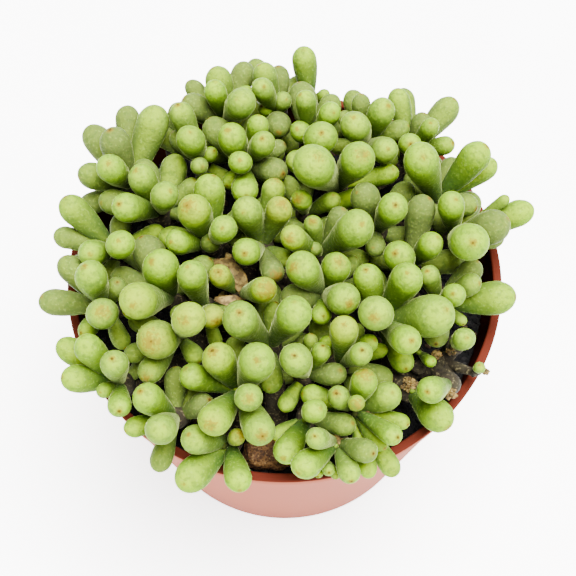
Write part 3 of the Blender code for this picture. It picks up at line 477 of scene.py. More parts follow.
# Each crown: where it is seen on the plane of the pot's mouth, its height, and its leaves.
# A leaf is where the middle of its round end is seen, its thickness, and its layer, the
# higher the nearer to the eye.
crowns = {
    "a": (-39, 25, 87, [(-48, 38.3, 7.5, -1), (-40.5, 44.5, 6.5, -1), (-41, 36, 8, -1), (-43, 30.2, 7.5, 0),
        (-48.5, 27.8, 7, -1), (-34.3, 43, 8.5, 0)]),
    "b": (-31, 17.5, 88, [(-30, 31.8, 7, 0), (-36, 27, 7.4, 0), (-30.5, 22.3, 7.3, 1), (-39.5, 18.8, 7.5, 1),
        (-42.8, 20.2, 6.5, -1), (-24.2, 24.3, 4.8, -1)]),
    "c": (-42, 7, 85, [(-52.5, 17.8, 7.2, 0), (-53.8, 10.2, 5.5, -1), (-47.5, 5.6, 6.8, 0),
        (-39.4, 8.2, 7.2, 2), (-32.3, 13, 4.6, 0)]),
    "d": (-43, -8.5, 85, [(-47, -0.7, 8, 1), (-43.7, -10.5, 7.8, 2), (-40.7, -3, 5, -1), (-47, -14.5, 4.5, 0),
        (-39, -17, 4.5, -1)]),
    "e": (-38.5, -28, 83, [(-46.2, -19.8, 7, 1), (-50.6, -20, 6.2, 0), (-48.6, -26.8, 6.6, 0),
        (-40.2, -23.3, 6.8, 2), (-42, -30, 3.6, 0), (-38.4, -33.6, 5.5, 1)]),
    "f": (-27.5, -6, 88, [(-35.3, -6.8, 9.2, 2), (-36.5, -10.5, 5, 0), (-30.2, 1, 9.5, 1),
        (-33.5, 3.5, 8.5, 0)]),
    "g": (-25.5, -16, 86, [(-23.7, -12, 8.2, 3), (-29.5, -17.3, 9.9, 2), (-30.5, -24.8, 6, 0),
        (-21.6, -21.3, 4.6, 0), (-35.3, -20.5, 4.8, -1)]),
    "h": (-25.5, -36.5, 81, [(-31.8, -32, 7.2, 1), (-28.5, -39.5, 7.4, 2), (-34.3, -38.9, 4.8, 0),
        (-26.5, -30.8, 5.8, -1)]),
    "i": (-10.5, -30, 83, [(-15.8, -22.2, 8, 2), (-6.9, -23.5, 8.9, 3), (-8.5, -31.2, 6.6, 3),
        (-21.5, -26.5, 6.2, 1), (-16.5, -37.2, 7.8, 2), (-6.6, -39.5, 7.5, 2)]),
    "j": (-12.8, -42.5, 79, [(-20.3, -42, 7, 1), (-20.8, -50, 7.8, 0), (-10.8, -51, 6.2, 1),
        (-11.2, -41.2, 4.2, 1)]),
    "k": (-4, -18.5, 87, [(-10.9, -12, 8.8, 3), (1.9, -10.3, 8.6, 3), (-4, -26, 6, -1), (-3, -10, 4.6, -1)]),
    "l": (4.5, -26, 84, [(2.2, -22.3, 8, 3), (8.4, -21, 4.8, 1), (9.2, -18.3, 3.8, 0), (2.6, -30.7, 4.4, 1),
        (5.7, -17.7, 3.5, 0)]),
    "m": (15, -34.5, 82, [(12.5, -35.8, 5.6, 2), (15.8, -32.5, 3.7, 3), (17.7, -28, 6.4, 1),
        (21.8, -30.7, 7, 0), (26, -37.6, 3.8, 1), (23.8, -41.3, 4.7, 1), (20.3, -42.3, 4.8, 0),
        (15.7, -47, 4.3, 1), (10.6, -29.6, 5.8, 1), (19.3, -48.5, 4.8, 0)]),
    "n": (5, -36.5, 80, [(0.6, -44.2, 6.6, 1), (-1, -40.5, 4, 0), (6.8, -34, 5.9, 1)]),
    "o": (11.5, -42.5, 80, [(7, -39.8, 5.2, 2), (4.6, -47.5, 6.6, 1), (14.5, -48.8, 5, 0)]),
    "p": (12.5, -23.5, 85, [(16.3, -23, 5.6, 2), (14.2, -19.3, 4.2, 0), (18.7, -18.3, 4.6, 1),
        (21.8, -20, 3.6, 0), (13.8, -14.5, 6.8, 2)]),
    "q": (9, -5, 89, [(13.6, -6.8, 8.2, 2), (12, 1.6, 7.6, 1), (3.9, 1.4, 8.4, 1), (4, -6.3, 7.6, 0),
        (8.3, -10.3, 5, 1)]),
    "r": (22, -12.5, 86, [(21.2, -10.2, 8.6, 3), (28.6, -17, 6.9, 2), (27, -22.2, 5.6, 0),
        (34.5, -11, 10.6, 1), (29, -1.2, 8, 2), (19.7, -1.4, 7.3, 0)]),
    "s": (36.5, -7.5, 84, [(50, -6.2, 8.4, 0), (40.3, -5.5, 5.8, 1), (43.8, -2.7, 5.4, 0),
        (34.6, -0.5, 5.3, 1), (43.3, 2, 6, -1), (41.4, -12, 2.8, 0)]),
    "t": (39.6, -18.6, 84, [(41.8, -17, 5.6, 0)]),
    "u": (31, -20.3, 80, [(33.6, -22.8, 3, 1)]),
    "v": (44.5, -25, 84, [(45, -24.3, 2.9, 0)]),
    "w": (28.5, -30, 79, [(34.5, -36, 7.6, 0)]),
    "x": (37.8, -28.2, 83, [(33.4, -30, 6.4, 2)]),
    "y": (30, 2.5, 87, [(27.5, 4.8, 8, 1), (35.2, 8.2, 6.5, 1), (33.4, 17.6, 7.4, 1)]),
    "z": (41, 10.5, 86, [(45, 9, 9.7, 2), (50, 14.5, 9, 1), (57.2, 17, 6.8, 0), (40.8, 19.2, 7.1, 2),
        (53.2, 21.3, 2.8, 0)]),
    "A": (22, 12, 89, [(26.3, 18.5, 7.8, 2), (19.9, 21.2, 7.8, 1), (28.3, 10.2, 6, -1), (29.3, 22.7, 6, -1),
        (21.8, 7.6, 5, -1)]),
    "B": (8.5, 5.5, 88, [(17, 12.8, 9.4, 3), (13, 16, 5.5, -1), (6.6, 13.7, 4.7, 0), (1.8, 10, 6.5, 3),
        (6.9, 7, 3.6, -1)]),
    "C": (4.5, 17, 88, [(3.8, 20.8, 5.4, 1), (11, 20.6, 4.8, 0), (15.2, 24.4, 4.9, 1), (1, 24.4, 5, -1)]),
    "D": (-6, 7.5, 88, [(-9.7, 17.5, 7.8, 2), (-3.6, 23.5, 6, 1), (-9.7, 6.2, 7.2, 3), (-2.5, 5, 4.8, -1),
        (-3.3, 0.8, 5.8, 1), (-1.8, 17.8, 6.8, 2)]),
    "E": (-18.5, 8.5, 88, [(-22.8, 17.5, 8.8, 2), (-26.3, 9, 6.5, 2), (-19.3, 23, 8, 0),
        (-15.6, 12.5, 6.8, 3), (-28.3, 9.8, 6, 0), (-18.3, 9, 5, -1)]),
    "F": (-11, -5, 87, [(-16.3, -0.3, 5.5, 2), (-5.5, -5, 6.6, 1)]),
    "G": (-10.5, 31, 88, [(-8.2, 43, 5.8, 1), (-5.9, 37.2, 6.6, 2), (-14.6, 38.5, 8, 1), (-12.2, 32.5, 6, 2),
        (-3.2, 29.5, 7, 0), (-10.8, 24, 6.8, 1), (-13.3, 26.5, 4.8, 0)]),
    "H": (-21.5, 32, 88, [(-24.2, 37, 7.6, 0), (-22.7, 32.3, 4.5, 0), (-19.2, 35.2, 4.2, 0),
        (-17.8, 29.5, 4.5, -1), (-28, 36.5, 5, -2), (-23.3, 45.5, 6.5, 0)]),
    "I": (-15.5, 43.5, 86.5, [(-17.3, 56, 7.3, 0), (-18.3, 53, 6, 1), (-12.3, 58, 6.5, -1), (-10.8, 52, 5, 1),
        (-23.8, 53.8, 5, -1), (-14.9, 45.2, 8, 1), (-23.3, 49, 7, -1)]),
    "J": (-29.5, 38.5, 83, [(-29, 46, 5.5, -1), (-32, 45.5, 4, -2)]),
    "K": (-2.5, 46.5, 86, [(-5.5, 58.5, 6.5, 0), (-5.8, 55, 6, 1), (-1.8, 57, 6, -1), (-3.9, 47.5, 3.8, 0),
        (0.9, 49.5, 5, 0), (5.5, 53, 5.5, -1), (-1.3, 43.5, 7, 0)]),
    "L": (6.5, 38, 87, [(5.1, 49, 5.6, 1), (10.5, 46.5, 6, 1), (4.2, 42, 5.8, 0), (8.7, 39.2, 8.8, 2)]),
    "M": (12.5, 24.5, 88, [(7, 31, 11, 3), (3, 31.5, 6, 0), (18, 32.3, 9.2, 3), (25.2, 28.3, 5.5, 1)]),
    "N": (20.5, 37.5, 87, [(17.6, 42.5, 8, 2), (24.2, 47, 7.3, 1), (16, 49.5, 6, -1), (19, 49, 5, -1),
        (24.9, 35.3, 7, 1), (14.3, 46.3, 4.5, -1)]),
    "O": (31.5, 35, 84, [(28.3, 49, 5.8, 0), (30.3, 50.3, 6, -1), (31, 38.5, 6, 0), (34.8, 43, 5.5, -1),
        (36.7, 42.3, 5, 0), (40.3, 36, 5, 0)]),
    "P": (37.5, 20.5, 87, [(34, 32, 9.5, 2), (47.8, 33.2, 7.8, 1), (50, 29, 6, 0)]),
    "Q": (6, 49.5, 84, [(4, 61.6, 6.7, 0), (6.5, 51.5, 3.5, 0)]),
    "S": (-19.5, -9, 86, [(-22.7, -0.2, 7.6, 2), (-17.6, -11.2, 6, 0), (-16.8, -17, 3.4, -1)]),
    "U": (8.8, -46.3, 78, [(9.3, -48.6, 2.8, 1), (7.6, -49.4, 2.2, 0), (10.5, -49.3, 2.2, 0)]),
    "V": (-11.5, -10.5, 81, [(-14.8, -6.9, 2.8, -1)]),
    "W": (-11.5, -1.2, 84, [(-13.6, 1.6, 4.6, -1)]),
}
withered = "VW"
tiny = "U"

# Each limb: the limb that it leaves, its fork, and the crowns whose twigs leave that fork
limbs = {
    "backLeft": ("", (-26, 12, 77), "abJH"),
    "left": ("", (-29, -3, 76), "cdfE"),
    "frontLeft": ("", (-22, -22, 74.5), "eghS"),
    "front": ("", (-4, -26, 74), "ijnkl"),
    "frontRight": ("", (13, -28, 74.5), "mpoU"),
    "bare": ("", (28, -24.5, 74), "wu"),
    "bareFork": ("bare", (37, -24, 78.5), "vtx"),
    "right": ("", (28, 0, 76), "rsyzPA"),
    "backRight": ("", (17, 22, 78), "ONLM"),
    "back": ("", (-5, 25, 78), "KQGI"),
    "middle": ("", (-1, -1, 78), "BDFqCVW"),
}

eye = np.array(view["eye"])
norm = np.linalg.norm


def unit(vector):
    return vector / norm(vector)


def nearness(height):
    # A real size at this height, as a part of the size seen on the plane of the mouth
    return (eye[2] - height) / (eye[2] - pot["height"])


def seenAt(x, y, height):
    flat = np.array([x + leaf["readShift"][0], y + leaf["readShift"][1], pot["height"]])
    return eye + (flat - eye) * nearness(height)


def usualLength(thick):
    return leaf["lengthByThick"] * thick + leaf["lengthMore"]


def endLength(thick):
    return leaf["endByThick"] * thick


def radiusAt(along, thick, length):
    # A narrow neck that swells to the widest place, then a round end
    widest = 1 - endLength(thick) / length
    swell = np.sin(np.pi / 2 * np.clip(along / widest, 0, 1)) ** leaf["swell"]
    swell = leaf["neck"] + (1 - leaf["neck"]) * swell
    end = np.sqrt(np.clip(1 - ((along - widest) / (1 - widest)) ** 2, 0, 1))
    return thick / 2 * np.where(along < widest, swell, end)


def seenLeaves():
    leaves = []
    for name, (x, y, height, seen) in crowns.items():
        crown = seenAt(x, y, height)
        for order, (leafX, leafY, thick, layer) in enumerate(seen):
            flat = seenAt(leafX, leafY, pot["height"])
            sight = unit(eye - flat)
            near = flat + sight * np.dot(crown - flat, sight)
            aside = norm(near - crown)
            real = thick * nearness(height + leaf["capOverCrown"])
            usual = usualLength(real) * (1 + leaf["layerStretch"] * layer) - endLength(real)
            reach = max(usual, aside * leaf["leastReach"])
            cap = near + sight * math.sqrt(reach**2 - aside**2)
            edge = np.clip((math.hypot(leafX, leafY) - leaf["edgeFrom"])
                           / (leaf["edgeTo"] - leaf["edgeFrom"]), 0, 1)
            upturn = leaf["upturn"][max(layer, -1) + 1] * (1 - edge * (1 - leaf["edgeUpturn"]))
            leaves.append(dict(crown=name, order=order, root=crown, cap=cap, reach=reach, layer=layer,
                               thick=thick * nearness(cap[2]), sight=sight, upturn=upturn))
    return leaves


def wayAt(turn, lift):
    level = math.cos(lift)
    return np.array([math.cos(turn) * level, math.sin(turn) * level, math.sin(lift)])


def hiddenLeaves(leaves, draw):
    goldenAngle = math.pi * (3 - math.sqrt(5))
    found = []
    for name in crowns:
        mine = [one for one in leaves if one["crown"] == name]
        if len(mine) < hidden["leastSeen"] or name in tiny:
            continue
        crown = mine[0]["root"]
        taken = [unit(one["cap"] - crown) for one in mine]
        outward = unit(np.array([crown[0], crown[1], 0.001]))
        spread = math.hypot(crown[0], crown[1]) / pot["rimRadius"]
        wanted = (spread > hidden["middleSpread"]) + (spread > hidden["outerSpread"])
        toEye = unit(eye - crown)
        for step in range(hidden["tries"]):
            turn = step * goldenAngle + draw.uniform(-hidden["turnSpread"], hidden["turnSpread"])
            lift = math.radians(draw.uniform(*hidden["lift"]))
            thick = draw.uniform(*hidden["thick"])
            way = wayAt(turn, lift)
            reach = usualLength(thick) - endLength(thick)
            cap = crown + way * reach
            inFront = np.dot(way, toEye) > hidden["toEyeMost"]
            inward = spread > hidden["innerSpread"] and np.dot(way, outward) < hidden["outwardLeast"]
            crowded = max(np.dot(way, other) for other in taken) > math.cos(math.radians(hidden["apart"]))
            tooLow = cap[2] - thick / 2 < soil["top"] + thick
            fromAxis = math.hypot(cap[0], cap[1])
            onRim = fromAxis > pot["rimRadius"] - thick and cap[2] < pot["height"] + thick
            if wanted < 1 or inFront or inward or crowded or tooLow or onRim:
                continue
            found.append(dict(crown=name, order=-1, root=crown, cap=cap, thick=thick,
                              reach=reach, sight=way, upturn=0.0, layer=-2))
            taken.append(way)
            wanted -= 1
    return found


def crownAxis(name):
    mine = [one for one in leaves if one["crown"] == name]
    ways = [unit(one["cap"] - one["root"]) for one in mine]
    return unit(sum(ways) + np.array([0, 0, stem["upwards"]]))


def coreRadius(name):
    thick = max(one[2] for one in crowns[name][3])
    return min(stem["largestCore"], stem["coreByLeaf"] * thick)


def stemDrop(name):
    return stem["dropByCore"] * coreRadius(name)


def bent(points, along):
    t = np.atleast_1d(along)[:, None]
    first, second, third, last = points
    return ((1 - t) ** 3 * first + 3 * t * (1 - t) ** 2 * second
            + 3 * t**2 * (1 - t) * third + t**3 * last)


def stemCurves():
    # The limbs and one twig for each crown: control points, end radii and the way it ends
    curves = []
    foot = np.array([0.0, 0.0, stem["footHeight"]])
    for name, (parent, fork, group) in limbs.items():
        fork = np.array(fork, float)
        start = np.array(limbs[parent][1], float) if parent else foot
        out = unit((fork - start) * [1, 1, 0])
        span = norm(fork - start) * stem["bend"]
        bend = [start, start + out * span + [0, 0, stem["rise"]], fork - out * span, fork]
        wide = stem["branchRadius"] if parent else stem["limbRadius"]
        curves.append((name, bend, wide, stem["branchRadius"], out))
        for order, crownName in enumerate(group):
            start = bent(bend, stem["firstTwig"] - order * stem["twigStep"])[0]
            axis = axes[crownName]
            end = roots[crownName] - axis * stemDrop(crownName)
            reach = norm(end - start) * stem["bend"]
            twig = [start, start + unit(end - start) * reach, end - axis * reach, end]
            endRadius = coreRadius(crownName) * stem["twigByCore"]
            curves.append((crownName, twig, endRadius + stem["taper"], endRadius, axis))
    return curves


def spheresAlong(curves):
    centres, radii, owners = [], [], []
    for name, bend, startRadius, endRadius, _ in curves:
        points = bent(bend, np.linspace(0, 1, 4))
        for k in range(3):
            for part in (0, 0.25, 0.5, 0.75):
                centres.append(points[k] * (1 - part) + points[k + 1] * part)
                radii.append(startRadius + (endRadius - startRadius) * (k + part) / 3)
                owners.append(name)
    return np.array(centres), np.array(radii), owners


def centreLines(root, cap, thick, sight, upturn, along):
    # The neck leaves the root along the chord, and the round end turns towards the light
    chord = cap - root
    reach = norm(chord, axis=1)
    way = chord / reach[:, None]
    turned = way * (1 - upturn)[:, None] + sight * upturn[:, None]
    turned = turned / norm(turned, axis=1)[:, None]
    length = reach + endLength(thick)
    widest = (reach / length)[:, None]
    middle = (cap - turned * (leaf["bow"] * reach)[:, None])[:, None]
    t = np.minimum(along[None] / widest, 1)[:, :, None]
    past = np.maximum(along[None] - widest, 0)[:, :, None] * length[:, None, None]
    neck = (1 - t) ** 2 * root[:, None] + 2 * t * (1 - t) * middle + t**2 * cap[:, None]
    return neck + past * turned[:, None]


# Where a leaf's spheres are along it, and what keeps a division from zero
stations = np.array([0.16, 0.28, 0.4, 0.52, 0.63, 0.73, 0.82, 0.9, 0.96])
nearZero = 1e-6


def worst(overlap):
    flat = overlap.reshape(len(overlap), -1)
    at = flat.argmax(1)
    return flat[np.arange(len(flat)), at], at


class Foliage:
    # All leaves together, each a chain of spheres, pushed clear of each other and the rest
    def __init__(self, leaves, curves):
        for key in leaves[0]:
            setattr(self, key, np.array([one[key] for one in leaves]))
        self.home, self.usual = self.cap.copy(), self.reach.copy()
        stems, radii, owners = spheresAlong(curves)
        self.things = np.concatenate([stems, np.array(list(roots.values()))])
        self.thingRadii = np.concatenate([radii, [coreRadius(name) for name in roots]])
        self.thingOwners = np.array(owners + list(roots))
        self.isCore = np.arange(len(self.things)) >= len(stems)

    def spheres(self):
        self.length = norm(self.cap - self.root, axis=1) + endLength(self.thick)
        widest = 1 - endLength(self.thick) / self.length
        self.lever = np.minimum(stations[None] / widest[:, None], 1)
        centres = centreLines(self.root, self.cap, self.thick, self.sight, self.upturn, stations)
        return centres, radiusAt(stations[None], self.thick[:, None], self.length[:, None])

    def findNeighbours(self):
        centres, _ = self.spheres()
        middle = centres[:, len(stations) // 2]
        reach = self.length * leaf["nearShare"]
        apart = norm(middle[:, None] - middle[None], axis=2)
        near = apart < reach[:, None] + reach[None]
        self.first, self.second = np.nonzero(np.triu(near, 1))
        self.together = self.crown[self.first] == self.crown[self.second]
        apart = norm(middle[:, None] - self.things[None], axis=2)
        own = self.crown[:, None] == self.thingOwners[None]
        near = apart < reach[:, None] + 2 * stem["largestCore"]
        self.leafBy, self.thingBy = np.nonzero(near & ~(own & self.isCore))

    def leafOverlaps(self, room):
        centres, radii = self.spheres()
        across = centres[self.first][:, :, None] - centres[self.second][:, None]
        apart = norm(across, axis=3)
        needed = radii[self.first][:, :, None] + radii[self.second][:, None]
        needed = needed + np.where(self.together, leaf["sameCrownRoom"], room)[:, None, None]
        overlap = needed - apart
        nearRoot = (stations[:, None] < leaf["sharedRoot"]) | (stations[None] < leaf["sharedRoot"])
        overlap[self.together] = np.where(nearRoot[None], -1, overlap[self.together])
        depth, at = worst(overlap)
        a, b = at // len(stations), at % len(stations)
        rows = np.arange(len(at))
        way = across[rows, a, b] / np.maximum(apart[rows, a, b], nearZero)[:, None]
        # Seen leaves give way along the line of sight first, so that each stays where it is seen
        sight = self.sight[self.first]
        deep = np.sum(way * sight, axis=1)
        higher = self.layer[self.first] - self.layer[self.second]
        side = np.where(higher != 0, np.sign(higher), np.sign(deep))
        seen = (self.layer[self.first] > -2) & (self.layer[self.second] > -2)
        share = np.where(seen, leaf["depthShare"], 0)
        way = way * (1 - share)[:, None] + sight * (side * share)[:, None]
        way = way / norm(way, axis=1)[:, None]
        return depth, a, b, way

    def thingOverlaps(self, room):
        centres, radii = self.spheres()
        across = centres[self.leafBy] - self.things[self.thingBy][:, None]
        apart = norm(across, axis=2)
        overlap = radii[self.leafBy] + self.thingRadii[self.thingBy][:, None] + room - apart
        depth, at = worst(overlap)
        rows = np.arange(len(at))
        return depth, at, across[rows, at] / np.maximum(apart[rows, at], nearZero)[:, None]

    def potPush(self):
        centres, radii = self.spheres()
        push = np.zeros_like(self.cap)
        rows = np.arange(len(push))
        fromAxis = norm(centres[:, :, :2], axis=2)
        outward = centres[:, :, :2] / np.maximum(fromAxis, nearZero)[:, :, None]
        for under in leaf["rimRounds"]:
            aside = fromAxis - (pot["rimRadius"] - pot["rimWidth"] / 2)
            above = centres[:, :, 2] - (pot["height"] - under)
            apart = np.hypot(aside, above)
            depth, at = worst(radii + leaf["rimRound"] + leaf["clearance"] - apart)
            share = np.where(depth > 0, depth / self.lever[rows, at] / apart[rows, at], 0)
            push[:, :2] += outward[rows, at] * (aside[rows, at] * share)[:, None]
            push[:, 2] += np.maximum(above[rows, at], leaf["rimLift"]) * share
        depth, at = worst(soil["top"] + leaf["soilRoom"] + radii - centres[:, :, 2])
        push[:, 2] += np.where(depth > 0, depth / self.lever[rows, at], 0)
        return push

    def settle(self):
        shortest, longest = leaf["lengthRange"]
        for turn in range(leaf["rounds"]):
            if turn % leaf["lookAgain"] == 0:
                self.findNeighbours()
            push = np.zeros_like(self.cap)
            depth, a, b, way = self.leafOverlaps(leaf["clearance"])
            first, second = self.lever[self.first, a], self.lever[self.second, b]
            share = np.where(depth > 0, depth, 0) / (first**2 + second**2)
            np.add.at(push, self.first, way * (share * first)[:, None])
            np.add.at(push, self.second, -way * (share * second)[:, None])
            depth, at, way = self.thingOverlaps(leaf["clearance"])
            share = np.where(depth > 0, depth, 0) / self.lever[self.leafBy, at]
            np.add.at(push, self.leafBy, way * (share * leaf["fromStem"])[:, None])
            push += self.potPush() * leaf["fromPot"]
            back = self.home - self.cap
            deep = self.sight * np.sum(back * self.sight, axis=1)[:, None]
            pull = leaf["pull"] if turn < leaf["rounds"] * leaf["lateFrom"] else leaf["latePull"]
            self.cap = (self.cap + push * leaf["pace"] + (back - deep) * pull
                        + deep * pull * leaf["deepPull"])
            chord = self.cap - self.root
            reach = norm(chord, axis=1)
            self.reach = np.clip(reach, self.usual * shortest, self.usual * longest)
            self.cap = self.root + chord * (self.reach / reach)[:, None]

    def thin(self):
        for _ in range(leaf["thinRounds"]):
            self.findNeighbours()
            factor = np.ones(len(self.thick))
            _, radii = self.spheres()
            depth, a, b, _ = self.leafOverlaps(leaf["gap"])
            both = radii[self.first, a] + radii[self.second, b]
            part = np.where((depth > 0) & ~self.together, 1 - depth / both, 1)
            np.minimum.at(factor, self.first, part)
            np.minimum.at(factor, self.second, part)
            depth, at, _ = self.thingOverlaps(leaf["gap"])
            part = np.where(depth > 0, 1 - depth / radii[self.leafBy, at], 1)
            np.minimum.at(factor, self.leafBy, np.maximum(part, leaf["thinLeast"]))
            self.thick = self.thick * factor
            if factor.min() > leaf["thinEnough"]:
                break


leaves = seenLeaves()
leaves += hiddenLeaves(leaves, np.random.default_rng(hidden["seed"]))
axes = {name: crownAxis(name) for name in crowns}
roots = {one["crown"]: one["root"] for one in leaves}
curves = stemCurves()
foliage = Foliage(leaves, curves)
foliage.settle()
foliage.thin()
print("leaves placed:", len(leaves))


# Leaves: club-shaped living skin, soft and faintly waxy, with a little light in the green flesh.
# Painted light makes each leaf yellower and lighter where it faces the lamp; painted shade darkens
# it where it turns away, on low and half-covered leaves, and, together with its own darker colour,
# towards the root. Many have a dark dot with a rusty halo near the tip.
# Real speckles are under 0.2 mm; they are drawn about twice that to be seen.
leafLook = {
    "form": {
        "Sides": 28, "Flatness": 0.95, "Wobble": 0.6, "Wobble size": 6.0,
        "Fine wobble": 0.1, "Fine wobble size": 1.6, "Light": (0.05, -0.35, 1.0)},
    "dried": {"Flatness": 0.35, "Wobble": 2.6, "Wobble size": 3.0},
    "seedStep": 60.0, "wobbleFrom": 0.1, "wobbleTo": 0.6, "stemFrom": 0.9,
    "surface": {
        "Roughness": 0.5, "IOR": 1.4, "Specular IOR Level": 0.02, "Subsurface Weight": 0.15,
        "Subsurface Radius": (0.6, 1.0, 0.1), "Subsurface Scale": 1.0 * mm,
        "Sheen Weight": 0.38, "Sheen Roughness": 0.15, "Sheen Tint": (0.8, 0.95, 0.3, 1)},
    "noise": {"blotches": (3.5, 2.0), "mottle": (1.1, 4.0), "speckles": (0.6, 1.0)},
    "attributes": ("along", "leafSeed", "blotch", "glow", "dullAndShade", "woody", "dotSize", "paintedLightFacing"),
    "sums": [
        ("yellow", "glow", 0.55, "along"), ("yellow", "blotches", 0.3, "yellow"),
        ("ragged", "mottle", 0.7 * mm, "fromDot"), ("flecks", "mottle", 1.5, "inward"),
        ("flecks", "speckles", 1.5, "flecks"), ("grain", "speckles", 0.6, "mottle")],
    "base": "#253516",
    "coats": {
        # Darker towards the root and lighter towards the tip: partly the leaf's own colour, partly painted
        # shade deep in the crown
        "middle": ("along", 0.05, 0.4, 1.0, "#324b17"),
        "body": ("along", 0.3, 0.7, 1.0, "#4a640b"),
        "tip": ("along", 0.65, 1.0, 1.0, "#648700"),
        "grey": ("leafSeed", 0.3, 1.0, 0.4, "#5a6a2e"),
        # Painted light: yellower and lighter where the surface faces the lamp
        "lit": ("paintedLightFacing", 0.6, 1.0, 0.75, "#809c00"),
        "shade": ("blotches", 0.5, 0.7, 0.25, "#344b1c"),
        # Olive dulling: the own dull tone of some leaves, and painted shade on low and half-covered leaves
        "oliveAndShade": ("dullAndShade", 0.1, 1.0, 0.85, "#475226"),
        "speckle": ("speckles", 0.55, 0.72, 0.2, "#8fa845"),
        "yellow": ("yellow", 1.15, 1.7, 0.6, "#8a9401"),
        "blush": ("inward", 0.0, 1.0, 0.42, "#776612"),
        "rust": ("flecks", 1.85, 2.3, 0.5, "#5a340c"),
        # Painted shade: darker where the surface turns away from the lamp
        "dim": ("paintedLightFacing", 0.5, -0.4, 0.8, "#324020"),
        # Darker mottling on the low spots of the relief: the leaf's own mottling, and painted shade in the
        # relief's hollows
        "mottleAndHollowShade": ("mottle", 0.52, 0.32, 0.45, "#344b1c"),
        "halo": ("inDot", -1.4 * mm, -0.4 * mm, 0.25, "#5a340c"),
        "dot": ("inDot", -0.5 * mm, -0.2 * mm, 0.75, "#2a170a"),
        "wood": ("woody", 0.0, 1.0, 1.0, "#1e1c10")},
    "relief": 0.18,
    # How leaves differ: the most that chance gives, and the painted shade that low and half-covered leaves add
    "marks": {
        "dotOffAxis": 0.3, "dotSize": (0.14, 0.36), "dotShare": 0.45, "noDot": -9.0,
        "rust": 0.12, "blotch": (0.15, 0.6), "glow": 0.3, "dullAndShade": 0.3, "lowShade": 0.6, "edgeShade": 0.2,
        "driedWiden": 1.7, "seed": 11},
    "tip": {
        "rings": 12, "roundFrom": 0.6, "foot": 0.72, "footLength": 0.4, "along": 0.3,
        "youngLength": (2.4, 3.6), "youngThick": (1.3, 1.9), "youngLean": (13.0, 26.0),
        "youngTurn": 0.8, "youngDull": 0.6, "youngWoody": 0.8, "youngRoot": 0.5,
        "sideways": (0.3, 0.5, 0.1), "blotch": 0.1},
    "low": {
        "tries": 60, "most": 4, "thick": (4.2, 6.2), "lift": (-5.0, 55.0), "shorter": (0.7, 1.0),
        "below": 2.5, "room": 0.2, "free": 0.4, "fromRim": 4, "overRim": 6, "overSoil": 1,
        "start": 0.1, "dullAndShade": (0.7, 1.0), "bare": "jn"},
}
marks = leafLook["marks"]

# Rust-brown tips, yellow tips and dull leaves, by crown and order in its list
rust = {
    "F1": 1.0, "j3": 1.1, "m2": 0.9, "m1": 1.3, "C0": 0.7, "E0": 0.5, "D5": 0.5, "S1": 0.5, "B2": 0.5,
    "F0": 0.45, "D1": 0.45, "D4": 0.6, "B3": 0.4, "g2": 0.4, "d1": 0.5, "i4": 0.4, "g0": 0.35, "g1": 0.6,
    "i2": 0.35, "i5": 0.35, "i0": 0.3, "m0": 0.3, "q1": 0.3, "q2": 0.3, "M2": 0.3, "r0": 0.25,
    "q0": 0.25, "M0": 0.25, "w0": 0.2,
}
glow = {
    "F0": 1.0, "S1": 0.8, "D5": 0.8, "p4": 0.8, "j3": 0.7, "F1": 0.6, "E0": 0.6, "B3": 0.6, "g1": 0.6,
    "g0": 0.6, "f0": 0.6, "i0": 0.6, "D1": 0.5, "i4": 0.5,
}
dullAndShade = ["D4", "a2", "f3", "G4", "K6", "q3", "I6", "K2", "B1", "A2", "A3", "A1", "y2", "z1", "s4"]


def leafSkin():
    made, tree, shader, signals = newMaterial("Waxy succulent leaf", leafLook)
    dotPlace = addNode(tree, "ShaderNodeAttribute", output="Vector", attribute_name="dotPlace")
    fromDot = addNode(tree, "ShaderNodeVectorMath", {0: signals["place"], 1: dotPlace}, output="Value",
                      operation="DISTANCE")
    # Rust flecks lie round the dot, as far out as the leaf's blotch reaches
    outward = addNode(tree, "ShaderNodeMath", {0: fromDot, 1: signals["blotch"]}, operation="DIVIDE")
    inward = addNode(tree, "ShaderNodeMath", {0: 1.0, 1: outward}, operation="SUBTRACT")
    signals.update(fromDot=fromDot, inward=inward)
    for name, first, part, second in leafLook["sums"]:
        signals[name] = addNode(tree, "ShaderNodeMath", operation="MULTIPLY_ADD",
                                inputs={0: signals[first], 1: part, 2: signals[second]})
    signals["inDot"] = addNode(tree, "ShaderNodeMath", operation="SUBTRACT",
                               inputs={0: signals["dotSize"], 1: signals["ragged"]})
    dress(tree, shader, leafLook, signals, "grain")
    return made


def leafStations(start, thick, length):
    widest = 1 - endLength(thick) / length
    below = np.linspace(start, widest, leaf["ringsBelow"])
    bow = np.linspace(0, np.pi / 2, leaf["ringsAbove"] + 1)[1:]
    return np.concatenate([below, widest + (1 - widest) * np.sin(bow)])


